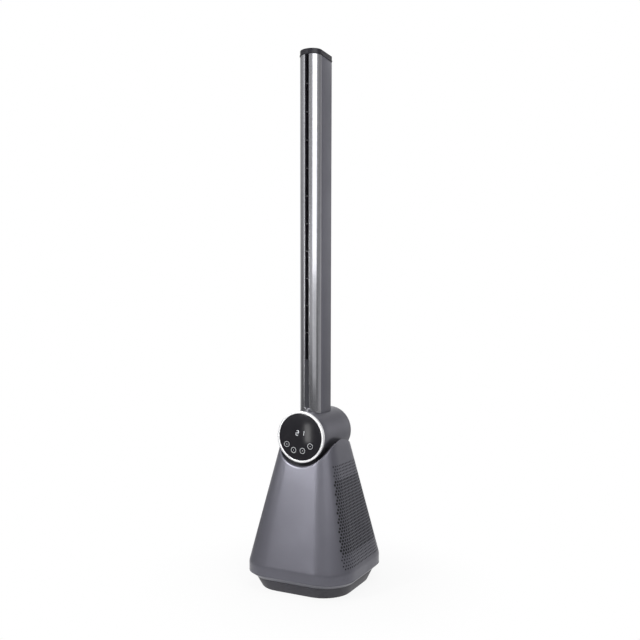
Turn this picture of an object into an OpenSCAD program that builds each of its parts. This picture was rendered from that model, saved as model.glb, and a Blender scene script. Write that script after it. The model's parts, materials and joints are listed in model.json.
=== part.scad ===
// Bladeless tower fan: a pyramid base with a blower, a drum in a saddle, and a slotted column.
// Millimetres. The origin is on the floor under the middle of the base, and the front faces -Y.

/* [Overall] */
// Height from the floor to the top of the column
total_h = 1000; // [960:1:1040]

/* [Base outline] */
// Half width of the base at its widest band
base_half_w = 108.9; // [108:0.1:110]
// Corner radius of the widest band
base_corner_r = 55.6; // [53:0.1:57]
// Inward lean of the sides, in mm for each mm of height
side_slope = 0.23; // [0.227:0.001:0.233]
// Height of the seam between the foot and the body
seam_z = 22.3; // [22:0.1:23]
// Height and depth of the undercut chamfer
chamfer_h = 9; // [8.6:0.1:9.4]
// Height of the top of the straight band
band_top_z = 52.5; // [52:0.1:53.5]
// Inward taper of the foot from the seam down to the floor
foot_taper = 8.9; // [8:0.1:9.2]
// Wall of the housing mouldings
wall = 2.6; // [2.4:0.1:2.8]
// Flat steps in each rounded corner
corner_steps = 9; // [6:1:14]

/* [Foot] */
// How far the rubber pads stand below the foot
pad_proud = 1.2; // [1:0.1:1.5]
// Thickness of a rubber pad
pad_t = 2.4; // [2.2:0.1:2.6]
// Radius of a rubber pad
pad_r = 9; // [7:0.5:11]
// Distance from a pad's edge to the rounded corner of the foot's underside
pad_inset = 3.16; // [2:0.01:8]
// Thickness of the foot's floor
foot_floor_t = 3; // [2.8:0.1:3.2]
// Thickness of the steel ballast plate
ballast_t = 4; // [3:0.1:4.4]
// Gap between the ballast plate and the wall of the foot
ballast_gap = 5.4; // [3:0.1:9]

/* [Turntable and oscillation gear] */
// Gap between the foot and the turning body
turn_gap = 0.6; // [0.4:0.1:0.8]
// Radius of the hollow pivot post
post_r = 11; // [10.5:0.1:11.5]
// Radius of the wire way through the post
wire_way_r = 8; // [6:0.1:8.2]
// Length of the hub that turns on the post
hub_len = 11; // [10:0.1:12]
// Radius of that hub
hub_r = 17; // [16:0.1:18]
// Gear module
gear_mod = 1.25; // [1.2:0.01:1.28]
// Teeth of the fixed gear
fixed_teeth = 64; // [64]
// Teeth of the pinion
pinion_teeth = 16; // [16]
// Face width of both gears
gear_w = 8; // [7:0.1:8.4]
// Play between the teeth, measured along the pitch circle
backlash = 0.2; // [0.15:0.01:0.3]
// Inner radius of the slide ring
slide_ring_in_r = 64; // [63:0.5:65]
// Outer radius of the slide ring
slide_ring_out_r = 76; // [75:0.5:78]
// Thickness of the slide ring
slide_ring_t = 3; // [2.5:0.1:3.2]
// Radius of the oscillation motor's can
osc_motor_r = 17.5; // [16:0.1:18]
// Height of the oscillation motor's can
osc_motor_h = 15; // [13:0.1:17]
// Radius of the oscillation motor's shaft
osc_shaft_r = 2.5; // [2.2:0.1:3]

/* [Side grilles] */
// Height of the lower edge of a grille's window
grille_z0 = 58.5; // [57.5:0.1:60]
// Height of the upper edge of a grille's window
grille_z1 = 242; // [238:0.5:244]
// Radius of a grille hole
grille_hole_r = 1.5; // [1.2:0.05:1.7]
// Distance between holes in a row
grille_pitch = 5.8; // [5.4:0.1:6.6]
// Distance between rows
grille_row = 5.45; // [5:0.05:6]

/* [Drum] */
// Height of the drum's axis, which is the axis of the head's swing
drum_z = 293; // [292:0.1:294]
// Outer radius of the drum's sleeve
sleeve_r = 46.1; // [45.6:0.1:46.4]
// Wall of the sleeve
sleeve_wall = 2.4; // [2.2:0.1:2.6]
// Front end of the sleeve, ahead of the axis of the base
sleeve_front = 56.2; // [55.5:0.1:56.4]
// Back end of the sleeve
sleeve_back = 66; // [65.5:0.1:67]
// Radius of the saddle in the base
saddle_r = 56; // [55.8:0.1:56.2]
// Outer radius of the fixed core tube inside the sleeve
core_r = 41; // [40.8:0.1:41.2]
// Wall of the core tube
core_wall = 2.6; // [2.4:0.1:2.8]
// Largest swing of the head to each side, in degrees
head_swing = 35; // [25:1:36]
// Half width of the air neck between the base and the core
neck_half_w = 17.5; // [17:0.1:18]
// Half length of the air neck, along the drum
neck_half_l = 31; // [30.5:0.1:31.5]
// Half length of the air way inside the neck
neck_air_half_l = 22; // [21:0.1:22.5]

/* [Display] */
// Outer radius of the silver ring
ring_r = 48.6; // [48.2:0.1:49]
// Radius of the opening in the silver ring
ring_open_r = 44.1; // [43.8:0.1:44.4]
// Distance of the ring's face ahead of the axis of the base
ring_front = 62.7; // [62.4:0.1:63.5]
// Depth of the ring
ring_depth = 6; // [5.8:0.1:6.2]
// Thickness of the glass
glass_t = 2; // [1.8:0.1:2.2]
// Depth of the glass below the ring's face
glass_sink = 0.8; // [0.6:0.1:1]

/* [Column] */
// Half width of the column
col_half_w = 21.05; // [20.8:0.05:21.3]
// Depth of the rounded nose
nose_depth = 18.3; // [17.8:0.1:18.6]
// Distance from the axis of the base forward to the nose's root
nose_root = 18.5; // [18.2:0.1:18.8]
// Distance from the axis of the base to the column's flat back
col_back = 26.2; // [25.8:0.1:26.6]
// Radius of the column's back edges
col_back_r = 3; // [2.6:0.1:3.4]
// Wall of the column's covers
col_wall = 2.2; // [2:0.1:2.4]
// Width of the outlet slot in the front cover
slot_w = 9; // [8.8:0.1:9.4]
// Width of the clear air gap between the nozzle lips
jet_w = 5.6; // [5.2:0.1:5.8]
// Height of the lower end of the outlet
outlet_z0 = 436.7; // [425:0.1:445]
// Distance between the ribs in the outlet
rib_pitch = 50.2; // [48:0.1:52]
// Thickness of a rib
rib_t = 1.6; // [1.2:0.1:2]
// Height of the top cap
cap_h = 9.6; // [9:0.1:11]
// How far the cap stands out past the column
cap_out = 0.95; // [0.6:0.05:1.1]
// Length of the socket that carries the column, above the drum's axis
socket_h = 80; // [75:1:85]

/* [Blower] */
// Height of the lower face of the blower's mounting ears
blower_z0 = 72; // [71:0.1:73]
// Inner radius of the blower housing
housing_in_r = 62; // [61.5:0.1:62.5]
// Height of the blower housing above the ears
housing_h = 76; // [74:0.5:78]
// Radius of the throat of the inlet bell
throat_r = 42; // [41:0.1:43]
// Gap between the impeller and the blower housing
impeller_gap = 2; // [1.6:0.1:3]
// Number of impeller blades
blade_count = 9; // [7:1:11]
// Number of diffuser vanes
vane_count = 11; // [7:1:13]
// Radius of the rotor shaft
rotor_shaft_r = 2.5; // [2.2:0.1:2.8]
// Distance of the blower's posts from the middle, along X and along Y
blower_post = 54; // [53:0.5:55]
// Height of the rubber isolators
isolator_h = 6; // [5:0.1:7]

/* [Fasteners and fits] */
// Radius of the shank of a screw
screw_r = 1.5; // [1.4:0.05:1.6]
// Radius of the head of a screw
screw_head_r = 2.8; // [2.6:0.1:3]
// Height of the head of a screw
screw_head_h = 2.2; // [2:0.1:2.4]
// Play between pieces that are fitted together and stay put
fit_gap = 0.3; // [0.25:0.05:0.35]
// Radial play of a turning fit
run_gap = 0.05; // [0.03:0.01:0.08]

/* [Hidden] */
$fn = 64;

// Colours
body_grey = "#6c6c75";
foot_grey = "#3f3d45";
front_grey = "#8d8d96";
cap_grey = "#33333a";
silver = "#cfcfd3";
glass_black = "#1e1d21";
steel = "#a9abb0";
rubber_black = "#1b1b1d";
white_plastic = "#d9d8d2";
board_green = "#2f6b46";

// Small overlap used so that cuts pass right through and unions hold together
bite = 0.5;
// Depth left below the tip of a screw in a blind hole
hole_spare = 1;

// Heights of the foot and the turntable
foot_floor_z = pad_proud + foot_floor_t;
seam_half_w = base_half_w - chamfer_h - turn_gap;
foot_wall_slope = foot_taper / seam_z;
gear_lift = 0.8;
gear_z = foot_floor_z + ballast_t + gear_lift;
tray_z = seam_z + turn_gap;
ballast_half_w = seam_half_w - foot_wall_slope * (seam_z - foot_floor_z) - wall - ballast_gap;
ballast_corner_r = base_corner_r - ballast_gap;
pad_corner = base_corner_r - pad_r - pad_inset;
pad_spot = seam_half_w - foot_wall_slope * (seam_z - pad_proud) - base_corner_r + pad_corner / sqrt(2);
tray_floor_z = tray_z + wall;
hub_top_z = tray_z + hub_len;
washer_t = 1;
washer_in = 1;
clip_t = 1.1;
clip_reach = 3;
clip_land = 2.4;
clip_z = hub_top_z + washer_t + run_gap;
clip_depth = 1.2;
post_top_z = clip_z + clip_t + clip_land;
slide_ring_z = tray_z - slide_ring_t;
slide_ring_mid_r = (slide_ring_in_r + slide_ring_out_r) / 2;
ring_post_r = 5;
ring_post_count = 6;

// Gear pair
gear_pressure_angle = 20;
gear_centre = gear_mod * (fixed_teeth + pinion_teeth) / 2;
hub_web_t = 4;
hub_screw_r = 26;
hub_boss_r = 4.5;
hub_screw_count = 4;
hub_screw_grip = 4.6;
hub_pocket_wall = 4;
hub_pocket_room = 2.5;
hub_pocket_r = hub_screw_r + hub_boss_r + hub_pocket_room;
pinion_hub_r = 6;
pinion_room = 2;
pinion_drop = 1;
motor_hole_r = pinion_hub_r + pinion_room;
motor_ear_reach = 5;
motor_ear_x = osc_motor_r + motor_ear_reach;
motor_ear_half = 4;
motor_ear_t = 1.5;
motor_screw_len = 3.8;
motor_cap_t = 2;

// Power inlet in the rear of the foot
jack_z = 12.4;
jack_half_w = 4.5;
jack_nose_r = 4;
jack_bore_r = 2.85;
jack_pin_r = 1;
jack_len = 14;
jack_depth = 10;
jack_recess = 1.35;
jack_face_y = seam_half_w - foot_wall_slope * (seam_z - jack_z) - jack_recess;
inlet_board_half_w = 14;
inlet_board_l = 24;
jack_back = 3.8;
jack_top = 5.6;
jack_pin_sink = 1;
jack_board_back = 5;
board_room = 2;
board_t = 1.6;
jack_base_z = foot_floor_z + board_t + 2 * fit_gap;

// Tray and shell
tray_in_chamfer = 7.5;
shell_boss_r = 5;
shell_boss_inset = 13.07;
shell_boss_corner = base_corner_r - wall - shell_boss_r - shell_boss_inset;
shell_boss = base_half_w - base_corner_r + shell_boss_corner / sqrt(2);
shell_boss_split_z = 46;
shell_boss_top_z = 74;
shell_screw_len = 32;
tongue_drop = 4;
tongue_t = 1.8;
tongue_root = 2.3;
boss_gap = 0.4;
boss_inset = 1;
boss_rib_t = 2.4;
boss_rib_lift = 8;
boss_rib_drop = 4;
boss_rib_z0 = band_top_z + boss_rib_lift;
boss_rib_z1 = shell_boss_top_z - boss_rib_drop;
shell_tap_deep = 13.5;
cut_over = 3;
shell_top_drop = 7;
shell_top_z = drum_z - shell_top_drop;
window_edge = 1;
face_wall = wall * sqrt(1 + side_slope * side_slope);
lean = atan(side_slope);
board_half_w = 38;
board_half_l = 22;
board_wall_gap = 9.3;
board_y = board_half_l + board_wall_gap + wall - base_half_w;
standoff_h = 5.5;
standoff_r = 3;
standoff_inset = 5;
// Square components on the main board: x, y, half width, half length, height
board_blocks = [[-12, 4, 9, 7, 12], [10, -6, 5, 9, 8]];
// Round components on the main board: x, y, radius, height
board_cans = [[26, 2, 5, 14], [-28, -3, 4, 11]];
small_screw_len = 5;
post_top = blower_z0 - isolator_h;

// Drum
sleeve_in_r = sleeve_r - sleeve_wall;
core_in_r = core_r - core_wall;
core_setback = 0.7;
core_front = ring_front - ring_depth - core_setback;
lip_back = 5.4;
lip_t = 2;
lip_y1 = sleeve_back - lip_back;
lip_y0 = lip_y1 - lip_t;
core_back = lip_y1 + fit_gap;
rear_cap_gap = 0.1;
rear_cap_sink = 1.5;
rear_cap_skirt = 8;
bulkhead_t = 2;
bulkhead_front = 44;
bulkhead_back = 40;
bush_len = 9;
neck_slot_play = 2;
neck_wall = 2;
air_half_w = neck_half_w - neck_wall;
socket_wall = 2;
slot_spare_angle = 1.4;
air_window_angle = asin((col_half_w - col_wall - fit_gap - socket_wall) / sleeve_in_r) + head_swing;
sleeve_slot_angle = asin(neck_half_w / sleeve_in_r) + head_swing + slot_spare_angle;
lip_r = core_r + 2 * fit_gap;
neck_z0 = 217;
neck_boss_r = (neck_half_l - neck_air_half_l) / 2 - fit_gap;
neck_boss_l = 12;
neck_screw_y = (neck_half_l + neck_air_half_l) / 2;
neck_screw_len = 36;
neck_head_lift = 6;
neck_head_z = neck_z0 + neck_head_lift;
flange_t = 2.4;
flange_angle = 26;
flange_over = 8;
flange_half_l = neck_half_l + flange_over;
cradle_screw_x = 20.8;
cradle_screw_y = 26;
cradle_t = 2.2;
cradle_seat_drop = 49.2;
cradle_seat_z = drum_z - cradle_seat_drop;
cradle_screw_len = 9;
cradle_boss_drop = 12;
cradle_boss_z0 = cradle_seat_z - cradle_boss_drop;
cradle_boss_l = 7.5;
cradle_boss_wall = 1.2;

// Display
ring_bevel = 1;
ring_skirt = 8;
ring_skirt_t = 2;
glass_back_y = -ring_front + glass_sink + glass_t;
digit_half_w = 15;
digit_half_h = 7;
digit_lift = 10;
digit_z = drum_z + digit_lift;
digit_depth = 8;

// Column
col_root = 25;
col_z0 = drum_z + col_root;
col_top_z = total_h - cap_h;
nose_steps = 26;
back_steps = 5;
least_r = 0.8;
lip_wall = (slot_w - jet_w) / 2 - fit_gap / 2;
lip_deep = 14;
lip_sink = 0.6;
lip_flange_half = 9;
lip_flange_t = 1.5;
lip_flange_gap = 2.3;
lip_flange_y = nose_root + nose_depth - col_wall - lip_flange_gap;
strip_lift = 50.5;
strip_z0 = drum_z + strip_lift;
strip_sink = 1.1;
strip_t = 1.2;
strip_play = 1;
web_gap = 2;
web_z0 = drum_z + socket_h + web_gap;
seam_gap = 0.15;
col_screw_x = 9;
col_screw_lift = 58;
col_screw_pitch = 14;
col_screw_z = [drum_z + col_screw_lift, drum_z + col_screw_lift + col_screw_pitch];
col_boss_r = 3.4;
col_boss_l = 6;
col_head_h = 1;
guide_t = 1.6;
guide_foot = 8;
guide_lift = 12;
guide_drop = 14;
guide_z0 = drum_z + socket_h + guide_lift;
guide_z1 = col_top_z - guide_drop;
guide_front = 3;
cap_lip_h = 1.8;
cap_step = 0.35;
cap_edge = 1;
cap_plug = 7;
cap_plug_t = 1.6;
rib_sink = 1;
rib_count = floor((col_top_z - outlet_z0) / rib_pitch - 0.5);

// Blower
ear_t = 3;
ear_r = 7;
ear_web_half = 6;
bell_r = 8;
bell_t = 2;
bell_gap = 0.2;
blower_screw_grip = 12;
isolator_r = 6;
housing_t = 2.2;
housing_top_z = blower_z0 + housing_h;
impeller_r = housing_in_r - impeller_gap;
motor_lift = 45;
motor_z0 = blower_z0 + motor_lift;
motor_h = 28;
motor_top_t = 1.5;
lid_t = 1.2;
shaft_room = 1;
motor_r = 27.5;
motor_t = 1.8;
cup_gap = 0.4;
cup_t = 2;
bearing_r = 8;
bearing_t = 5;
stator_lift = 2.4;
stator_z = motor_z0 + bearing_t + stator_lift;
stator_h = 11;
stator_in_r = 13;
stator_slots = 9;
stator_slot_w = 2.8;
stator_slot_r = 20;
rotor_r = 12.4;
shaft_lift = 3;
shaft_drop = 2;
shaft_z0 = blower_z0 + shaft_lift;
shaft_z1 = motor_z0 + motor_h - shaft_drop;
vane_drop = 0.2;
vane_z0 = motor_z0 - vane_drop;
vane_h = 30;
vane_t = 1.6;
vane_sweep = 14;
cup_over = 6;
cup_roof = 3;
impeller_lift = 7;
impeller_z0 = blower_z0 + impeller_lift;
impeller_h = 32;
impeller_hub_r = 8;
impeller_rim = 4;
hub_skin = 2.4;
shroud_skin = 2;
shroud_h = 20;
shroud_lift = 1;
blade_in_r = 18;
blade_t = 1.8;
blade_sweep = 48;
nut_r = 5;
nut_h = 3.6;
nut_lift = 0.2;
gasket_t = 3;
riser_rim = 3;
riser_top_z = neck_z0 - gasket_t;
riser_half_w = 18.5;
riser_half_l = 32;

// Half width of the pyramid at height z
function half_w(z) = base_half_w - side_slope * (z - band_top_z);
// Corner radius of the pyramid at height z, which shrinks in step with the width
function corner_r(z) = base_corner_r * half_w(z) / base_half_w;
// Half width of the flat part of a side at height z
function flat_half(z) = half_w(z) - corner_r(z);
// Half width of the foot's outside at height z
function foot_half(z) = seam_half_w - foot_wall_slope * (seam_z - z);

// Outline of a square with rounded corners: half width w, corner radius r
function rounded_square(w, r) = [for (q = [0:3]) for (i = [0:corner_steps])
    let (a = 90 * (q + i / corner_steps), sx = (q == 0 || q == 3) ? 1 : -1, sy = (q < 2) ? 1 : -1)
    [sx * (w - r) + r * cos(a), sy * (w - r) + r * sin(a)]];

// Solid through a stack of rounded squares, each given as [half width, corner radius, height]
module loft(levels) {
    n = 4 * (corner_steps + 1);
    last = len(levels) - 1;
    points = [for (s = levels) each [for (p = rounded_square(s[0], s[1])) [p.x, p.y, s[2]]]];
    sides = [for (k = [0:last - 1]) for (i = [0:n - 1])
        let (j = (i + 1) % n) [k * n + i, (k + 1) * n + i, (k + 1) * n + j, k * n + j]];
    bottom = [[for (i = [0:n - 1]) i]];
    top = [[for (i = [n - 1:-1:0]) last * n + i]];
    polyhedron(points = points, faces = concat(bottom, sides, top));
}

// Flat plate with the outline of a rounded square
module square_plate(w, r, z, h) {
    translate([0, 0, z]) linear_extrude(h) polygon(rounded_square(w, r));
}

// Pyramid volume, drawn in by t from the outside, between two heights
module pyramid(t, z0, z1) {
    loft([[half_w(z0) - t, corner_r(z0) - t, z0], [half_w(z1) - t, corner_r(z1) - t, z1]]);
}

// Cylinder on the drum's axis between two places along Y
module on_drum(r, y0, y1) {
    translate([0, y1, drum_z]) rotate([90, 0, 0]) cylinder(r = r, h = y1 - y0, $fn = 96);
}

// Wedge around the drum's axis: direction a, half angle h, both measured from straight up
module drum_wedge(a, h, y0, y1) {
    reach = 2 * sleeve_r;
    steps = 6;
    arc = [for (i = [0:steps]) let (t = a - h + 2 * h * i / steps) [reach * sin(t), reach * cos(t)]];
    translate([0, y1, drum_z]) rotate([90, 0, 0]) linear_extrude(y1 - y0) polygon(concat([[0, 0]], arc));
}

// Upright block by its centre line, half width, half length and heights
module block(cx, cy, hw, hl, z0, z1) {
    translate([cx - hw, cy - hl, z0]) cube([2 * hw, 2 * hl, z1 - z0]);
}

// Children at the four places (s, s), (-s, s), (-s, -s) and (s, -s)
module four_corners(s) {
    for (sx = [-1, 1]) for (sy = [-1, 1]) translate([sx * s, sy * s, 0]) children();
}

// Screw with its head's underside at height z and its shank pointing down
module screw_down(z, length, head_h = screw_head_h) {
    translate([0, 0, z - length]) cylinder(r = screw_r, h = length + bite, $fn = 24);
    translate([0, 0, z]) cylinder(r = screw_head_r, h = head_h, $fn = 24);
}

// Screw with its head's top at height z and its shank pointing up
module screw_up(z, length) {
    translate([0, 0, z + screw_head_h - bite]) cylinder(r = screw_r, h = length + bite, $fn = 24);
    translate([0, 0, z]) cylinder(r = screw_head_r, h = screw_head_h, $fn = 24);
}

// Angle of the involute, in degrees, where its pressure angle is a
function involute(a) = tan(a) * 180 / PI - a;
// Half of the angle that a tooth fills at radius r
function tooth_half(n, r) = let (pitch_r = gear_mod * n / 2, base_r = pitch_r * cos(gear_pressure_angle),
    at_pitch = 90 / n - backlash / 4 / pitch_r * 180 / PI)
    at_pitch + involute(gear_pressure_angle) - involute(acos(min(1, base_r / max(r, base_r))));
// Outline of an involute spur gear with n teeth and its first tooth on +X
function gear_outline(n) = let (pitch_r = gear_mod * n / 2, base_r = pitch_r * cos(gear_pressure_angle),
    tip_r = pitch_r + gear_mod, root_r = pitch_r - 1.25 * gear_mod, foot_r = max(root_r, base_r), flank = 4)
    [for (k = [0:n - 1]) let (c = 360 * k / n)
        each concat(
            [root_r * [cos(c - tooth_half(n, foot_r)), sin(c - tooth_half(n, foot_r))]],
            [for (i = [0:flank]) let (r = foot_r + (tip_r - foot_r) * i / flank, h = tooth_half(n, r))
                r * [cos(c - h), sin(c - h)]],
            [for (i = [flank:-1:0]) let (r = foot_r + (tip_r - foot_r) * i / flank, h = tooth_half(n, r))
                r * [cos(c + h), sin(c + h)]],
            [root_r * [cos(c + tooth_half(n, foot_r)), sin(c + tooth_half(n, foot_r))]])];

// Foot

module foot_pan() color(foot_grey) difference() {
    union() {
        difference() {
            loft([[foot_half(pad_proud), base_corner_r, pad_proud], [seam_half_w, base_corner_r, seam_z]]);
            loft([[foot_half(foot_floor_z) - wall, base_corner_r - wall, foot_floor_z],
                [foot_half(seam_z + bite) - wall, base_corner_r - wall, seam_z + bite]]);
        }
        for (i = [0:hub_screw_count - 1]) rotate(360 * (i + 0.5) / hub_screw_count)
            translate([hub_screw_r, 0, foot_floor_z - bite])
                cylinder(r = hub_boss_r, h = gear_z - foot_floor_z + bite);
        for (i = [0:ring_post_count - 1]) rotate(360 * i / ring_post_count)
            translate([slide_ring_mid_r, 0, foot_floor_z - bite])
                cylinder(r = ring_post_r, h = slide_ring_z - foot_floor_z + bite);
    }
    four_corners(pad_spot) translate([0, 0, pad_proud - bite])
        cylinder(r = pad_r + fit_gap, h = pad_t - pad_proud + bite);
    for (i = [0:hub_screw_count - 1]) rotate(360 * (i + 0.5) / hub_screw_count)
        translate([hub_screw_r, 0, gear_z - hub_screw_grip - hole_spare])
            cylinder(r = screw_r + run_gap, h = hub_screw_grip + hole_spare + bite, $fn = 24);
    translate([0, base_half_w, jack_z]) rotate([90, 0, 0])
        cylinder(r = jack_nose_r + fit_gap, h = base_half_w - jack_face_y + jack_len);
}

module foot_pads() color(rubber_black)
    four_corners(pad_spot) cylinder(r = pad_r, h = pad_t);

module ballast_plate() color(steel) difference() {
    square_plate(ballast_half_w, ballast_corner_r, foot_floor_z, ballast_t);
    for (i = [0:hub_screw_count - 1]) rotate(360 * (i + 0.5) / hub_screw_count)
        translate([hub_screw_r, 0, 0]) cylinder(r = hub_boss_r + fit_gap, h = seam_z);
    for (i = [0:ring_post_count - 1]) rotate(360 * i / ring_post_count)
        translate([slide_ring_mid_r, 0, 0]) cylinder(r = ring_post_r + fit_gap, h = seam_z);
    block(0, jack_face_y, inlet_board_half_w + board_room, inlet_board_l + jack_board_back + board_room,
        0, seam_z);
}

module hub_gear() color(white_plastic) difference() {
    union() {
        difference() {
            translate([0, 0, gear_z]) linear_extrude(gear_w) polygon(gear_outline(fixed_teeth));
            translate([0, 0, gear_z + hub_web_t]) difference() {
                cylinder(r = hub_pocket_r, h = gear_w);
                cylinder(r = post_r + hub_pocket_wall, h = gear_w);
            }
        }
        translate([0, 0, gear_z]) cylinder(r = post_r, h = post_top_z - gear_z);
    }
    translate([0, 0, gear_z - bite]) cylinder(r = wire_way_r, h = post_top_z);
    for (i = [0:hub_screw_count - 1]) rotate(360 * (i + 0.5) / hub_screw_count)
        translate([hub_screw_r, 0, gear_z - bite])
            cylinder(r = screw_r + fit_gap, h = hub_web_t + 2 * bite, $fn = 24);
    translate([0, 0, clip_z]) difference() {
        cylinder(r = post_r + bite, h = clip_t + run_gap);
        cylinder(r = post_r - clip_depth, h = clip_t + run_gap);
    }
}

module hub_screws() color(steel)
    for (i = [0:hub_screw_count - 1]) rotate(360 * (i + 0.5) / hub_screw_count)
        translate([hub_screw_r, 0, 0]) screw_down(gear_z + hub_web_t, hub_web_t + hub_screw_grip);

module slide_ring() color(white_plastic) translate([0, 0, slide_ring_z]) difference() {
    cylinder(r = slide_ring_out_r, h = slide_ring_t, $fn = 96);
    translate([0, 0, -bite]) cylinder(r = slide_ring_in_r, h = slide_ring_t + 2 * bite, $fn = 96);
}

module thrust_washer() color(steel) translate([0, 0, hub_top_z]) difference() {
    cylinder(r = hub_r - washer_in, h = washer_t);
    translate([0, 0, -bite]) cylinder(r = post_r + run_gap, h = washer_t + 2 * bite);
}

module retaining_ring() color(steel) translate([0, 0, clip_z]) difference() {
    cylinder(r = post_r + clip_reach, h = clip_t);
    translate([0, 0, -bite]) cylinder(r = post_r - clip_depth + run_gap, h = clip_t + 2 * bite);
    translate([0, -post_r / 2, -bite]) cube([2 * post_r, post_r, clip_t + 2 * bite]);
}

module dc_inlet() color(rubber_black) {
    translate([0, jack_face_y, jack_z]) rotate([90, 0, 0]) {
        difference() {
            union() {
                cylinder(r = jack_nose_r, h = jack_len, $fn = 32);
                translate([-jack_half_w, jack_base_z - jack_z, jack_back])
                    cube([2 * jack_half_w, jack_z + jack_top - jack_base_z, jack_len - jack_back]);
            }
            translate([0, 0, -bite]) cylinder(r = jack_bore_r, h = jack_depth + bite, $fn = 32);
        }
        translate([0, 0, jack_pin_sink]) cylinder(r = jack_pin_r, h = jack_depth, $fn = 24);
    }
}

module inlet_board() color(board_green)
    translate([-inlet_board_half_w, jack_face_y - jack_board_back - inlet_board_l, foot_floor_z + fit_gap])
        cube([2 * inlet_board_half_w, inlet_board_l, board_t]);

// Body: tray, shell and grilles

module chassis_tray() color(body_grey) difference() {
    union() {
        difference() {
            loft([[seam_half_w + turn_gap, base_corner_r, tray_z],
                [base_half_w, base_corner_r, tray_z + chamfer_h], [base_half_w, base_corner_r, band_top_z]]);
            loft([[base_half_w - wall - tray_in_chamfer, base_corner_r - wall, tray_floor_z],
                [base_half_w - wall, base_corner_r - wall, tray_floor_z + tray_in_chamfer],
                [base_half_w - wall, base_corner_r - wall, band_top_z + bite]]);
        }
        translate([0, 0, tray_z]) cylinder(r = hub_r, h = hub_len);
        four_corners(shell_boss) translate([0, 0, tray_floor_z - bite])
            cylinder(r = shell_boss_r, h = shell_boss_split_z - tray_floor_z + bite);
        four_corners(blower_post) translate([0, 0, tray_floor_z - bite])
            cylinder(r = shell_boss_r, h = post_top - tray_floor_z + bite);
        for (sx = [-1, 1]) for (sy = [-1, 1])
            translate([sx * (board_half_w - standoff_inset), board_y + sy * (board_half_l - standoff_inset),
                tray_floor_z - bite]) cylinder(r = standoff_r, h = standoff_h + bite);
    }
    translate([0, 0, tray_z - bite]) cylinder(r = post_r + run_gap, h = hub_len + 2 * bite);
    translate([0, gear_centre, tray_z - bite]) cylinder(r = motor_hole_r, h = wall + 2 * bite);
    four_corners(shell_boss) {
        translate([0, 0, tray_z - bite]) cylinder(r = screw_r + fit_gap, h = shell_boss_split_z, $fn = 24);
        translate([0, 0, tray_z - bite])
            cylinder(r = screw_head_r + fit_gap, h = screw_head_h + 2 * bite, $fn = 24);
    }
    four_corners(blower_post) translate([0, 0, post_top - blower_screw_grip - hole_spare])
        cylinder(r = screw_r + run_gap, h = blower_screw_grip + hole_spare + bite, $fn = 24);
    for (sx = [-1, 1]) {
        for (sy = [-1, 1])
            translate([sx * (board_half_w - standoff_inset), board_y + sy * (board_half_l - standoff_inset),
                tray_floor_z + standoff_h - small_screw_len])
                cylinder(r = screw_r + run_gap, h = small_screw_len + 2 * bite, $fn = 24);
        translate([sx * motor_ear_x, gear_centre, tray_z - bite])
            cylinder(r = screw_r + run_gap, h = wall + 2 * bite, $fn = 24);
    }
}

// Outline of a grille's window on the leaning side, grown by m
function window_outline(m) = let (low = (grille_z0 - band_top_z) / cos(lean) - m,
    high = (grille_z1 - band_top_z) / cos(lean) + m, half_low = flat_half(grille_z0) - window_edge + m,
    half_high = flat_half(grille_z1) - window_edge + m)
    [[-half_low, low], [half_low, low], [half_high, high], [-half_high, high]];

// Lays a flat outline on the right side of the pyramid, from depth d up to depth d - t below the surface
module on_side(d, t) {
    translate([base_half_w, 0, band_top_z]) rotate([0, -lean, 0]) translate([-d, 0, 0])
        rotate([90, 0, 90]) linear_extrude(t) children();
}

module base_shell() color(body_grey) difference() {
    union() {
        difference() {
            pyramid(0, band_top_z, shell_top_z);
            pyramid(face_wall, band_top_z - bite, shell_top_z + bite);
        }
        difference() {
            square_plate(base_half_w - wall - fit_gap, base_corner_r - wall - fit_gap,
                band_top_z - tongue_drop, tongue_drop + tongue_root);
            square_plate(base_half_w - wall - fit_gap - tongue_t, base_corner_r - wall - fit_gap - tongue_t,
                band_top_z - tongue_drop - bite, tongue_drop + tongue_root + 2 * bite);
        }
        intersection() {
            pyramid(boss_inset, shell_boss_split_z, shell_boss_top_z + 1);
            four_corners(shell_boss) translate([0, 0, shell_boss_split_z + boss_gap])
                cylinder(r = shell_boss_r, h = shell_boss_top_z - shell_boss_split_z);
        }
        intersection() {
            pyramid(boss_inset, band_top_z, shell_boss_top_z + 1);
            for (a = [45:90:315]) rotate(a) translate([shell_boss * sqrt(2), -boss_rib_t / 2, boss_rib_z0])
                cube([base_half_w, boss_rib_t, boss_rib_z1 - boss_rib_z0]);
        }
    }
    on_drum(saddle_r, -base_half_w, base_half_w);
    four_corners(shell_boss) translate([0, 0, shell_boss_split_z - bite])
        cylinder(r = screw_r + run_gap, h = shell_tap_deep + bite, $fn = 24);
    for (side = [0, 180]) rotate(side) on_side(wall + cut_over, wall + 2 * cut_over) polygon(window_outline(0));
}

// Perforated side panel on the right, with a flange behind the edge of the shell's window
module grille_panel() {
    margin = 6.5;
    lap_out = 2.4;
    lap_in = 4;
    lap_t = 1.5;
    lap_z = 1.8;
    rows = floor(((grille_z1 - grille_z0) / cos(lean) - 2 * margin) / grille_row);
    first = (grille_z0 - band_top_z) / cos(lean) + margin;
    on_side(wall, wall) difference() {
        polygon(window_outline(-fit_gap));
        for (k = [0:rows]) {
            up = first + k * grille_row;
            reach = flat_half(band_top_z + up * cos(lean)) - window_edge - margin;
            shift = (k % 2) * grille_pitch / 2;
            count = floor((reach - shift) / grille_pitch);
            for (j = [-count - (k % 2):count]) translate([j * grille_pitch + shift, up])
                circle(r = grille_hole_r, $fn = 16);
        }
    }
    on_side(wall + lap_z, wall + lap_z) difference() {
        polygon(window_outline(-fit_gap));
        polygon(window_outline(-lap_in));
    }
    on_side(wall + lap_z, lap_t) difference() {
        polygon(window_outline(lap_out));
        polygon(window_outline(-lap_in));
    }
}

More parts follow.
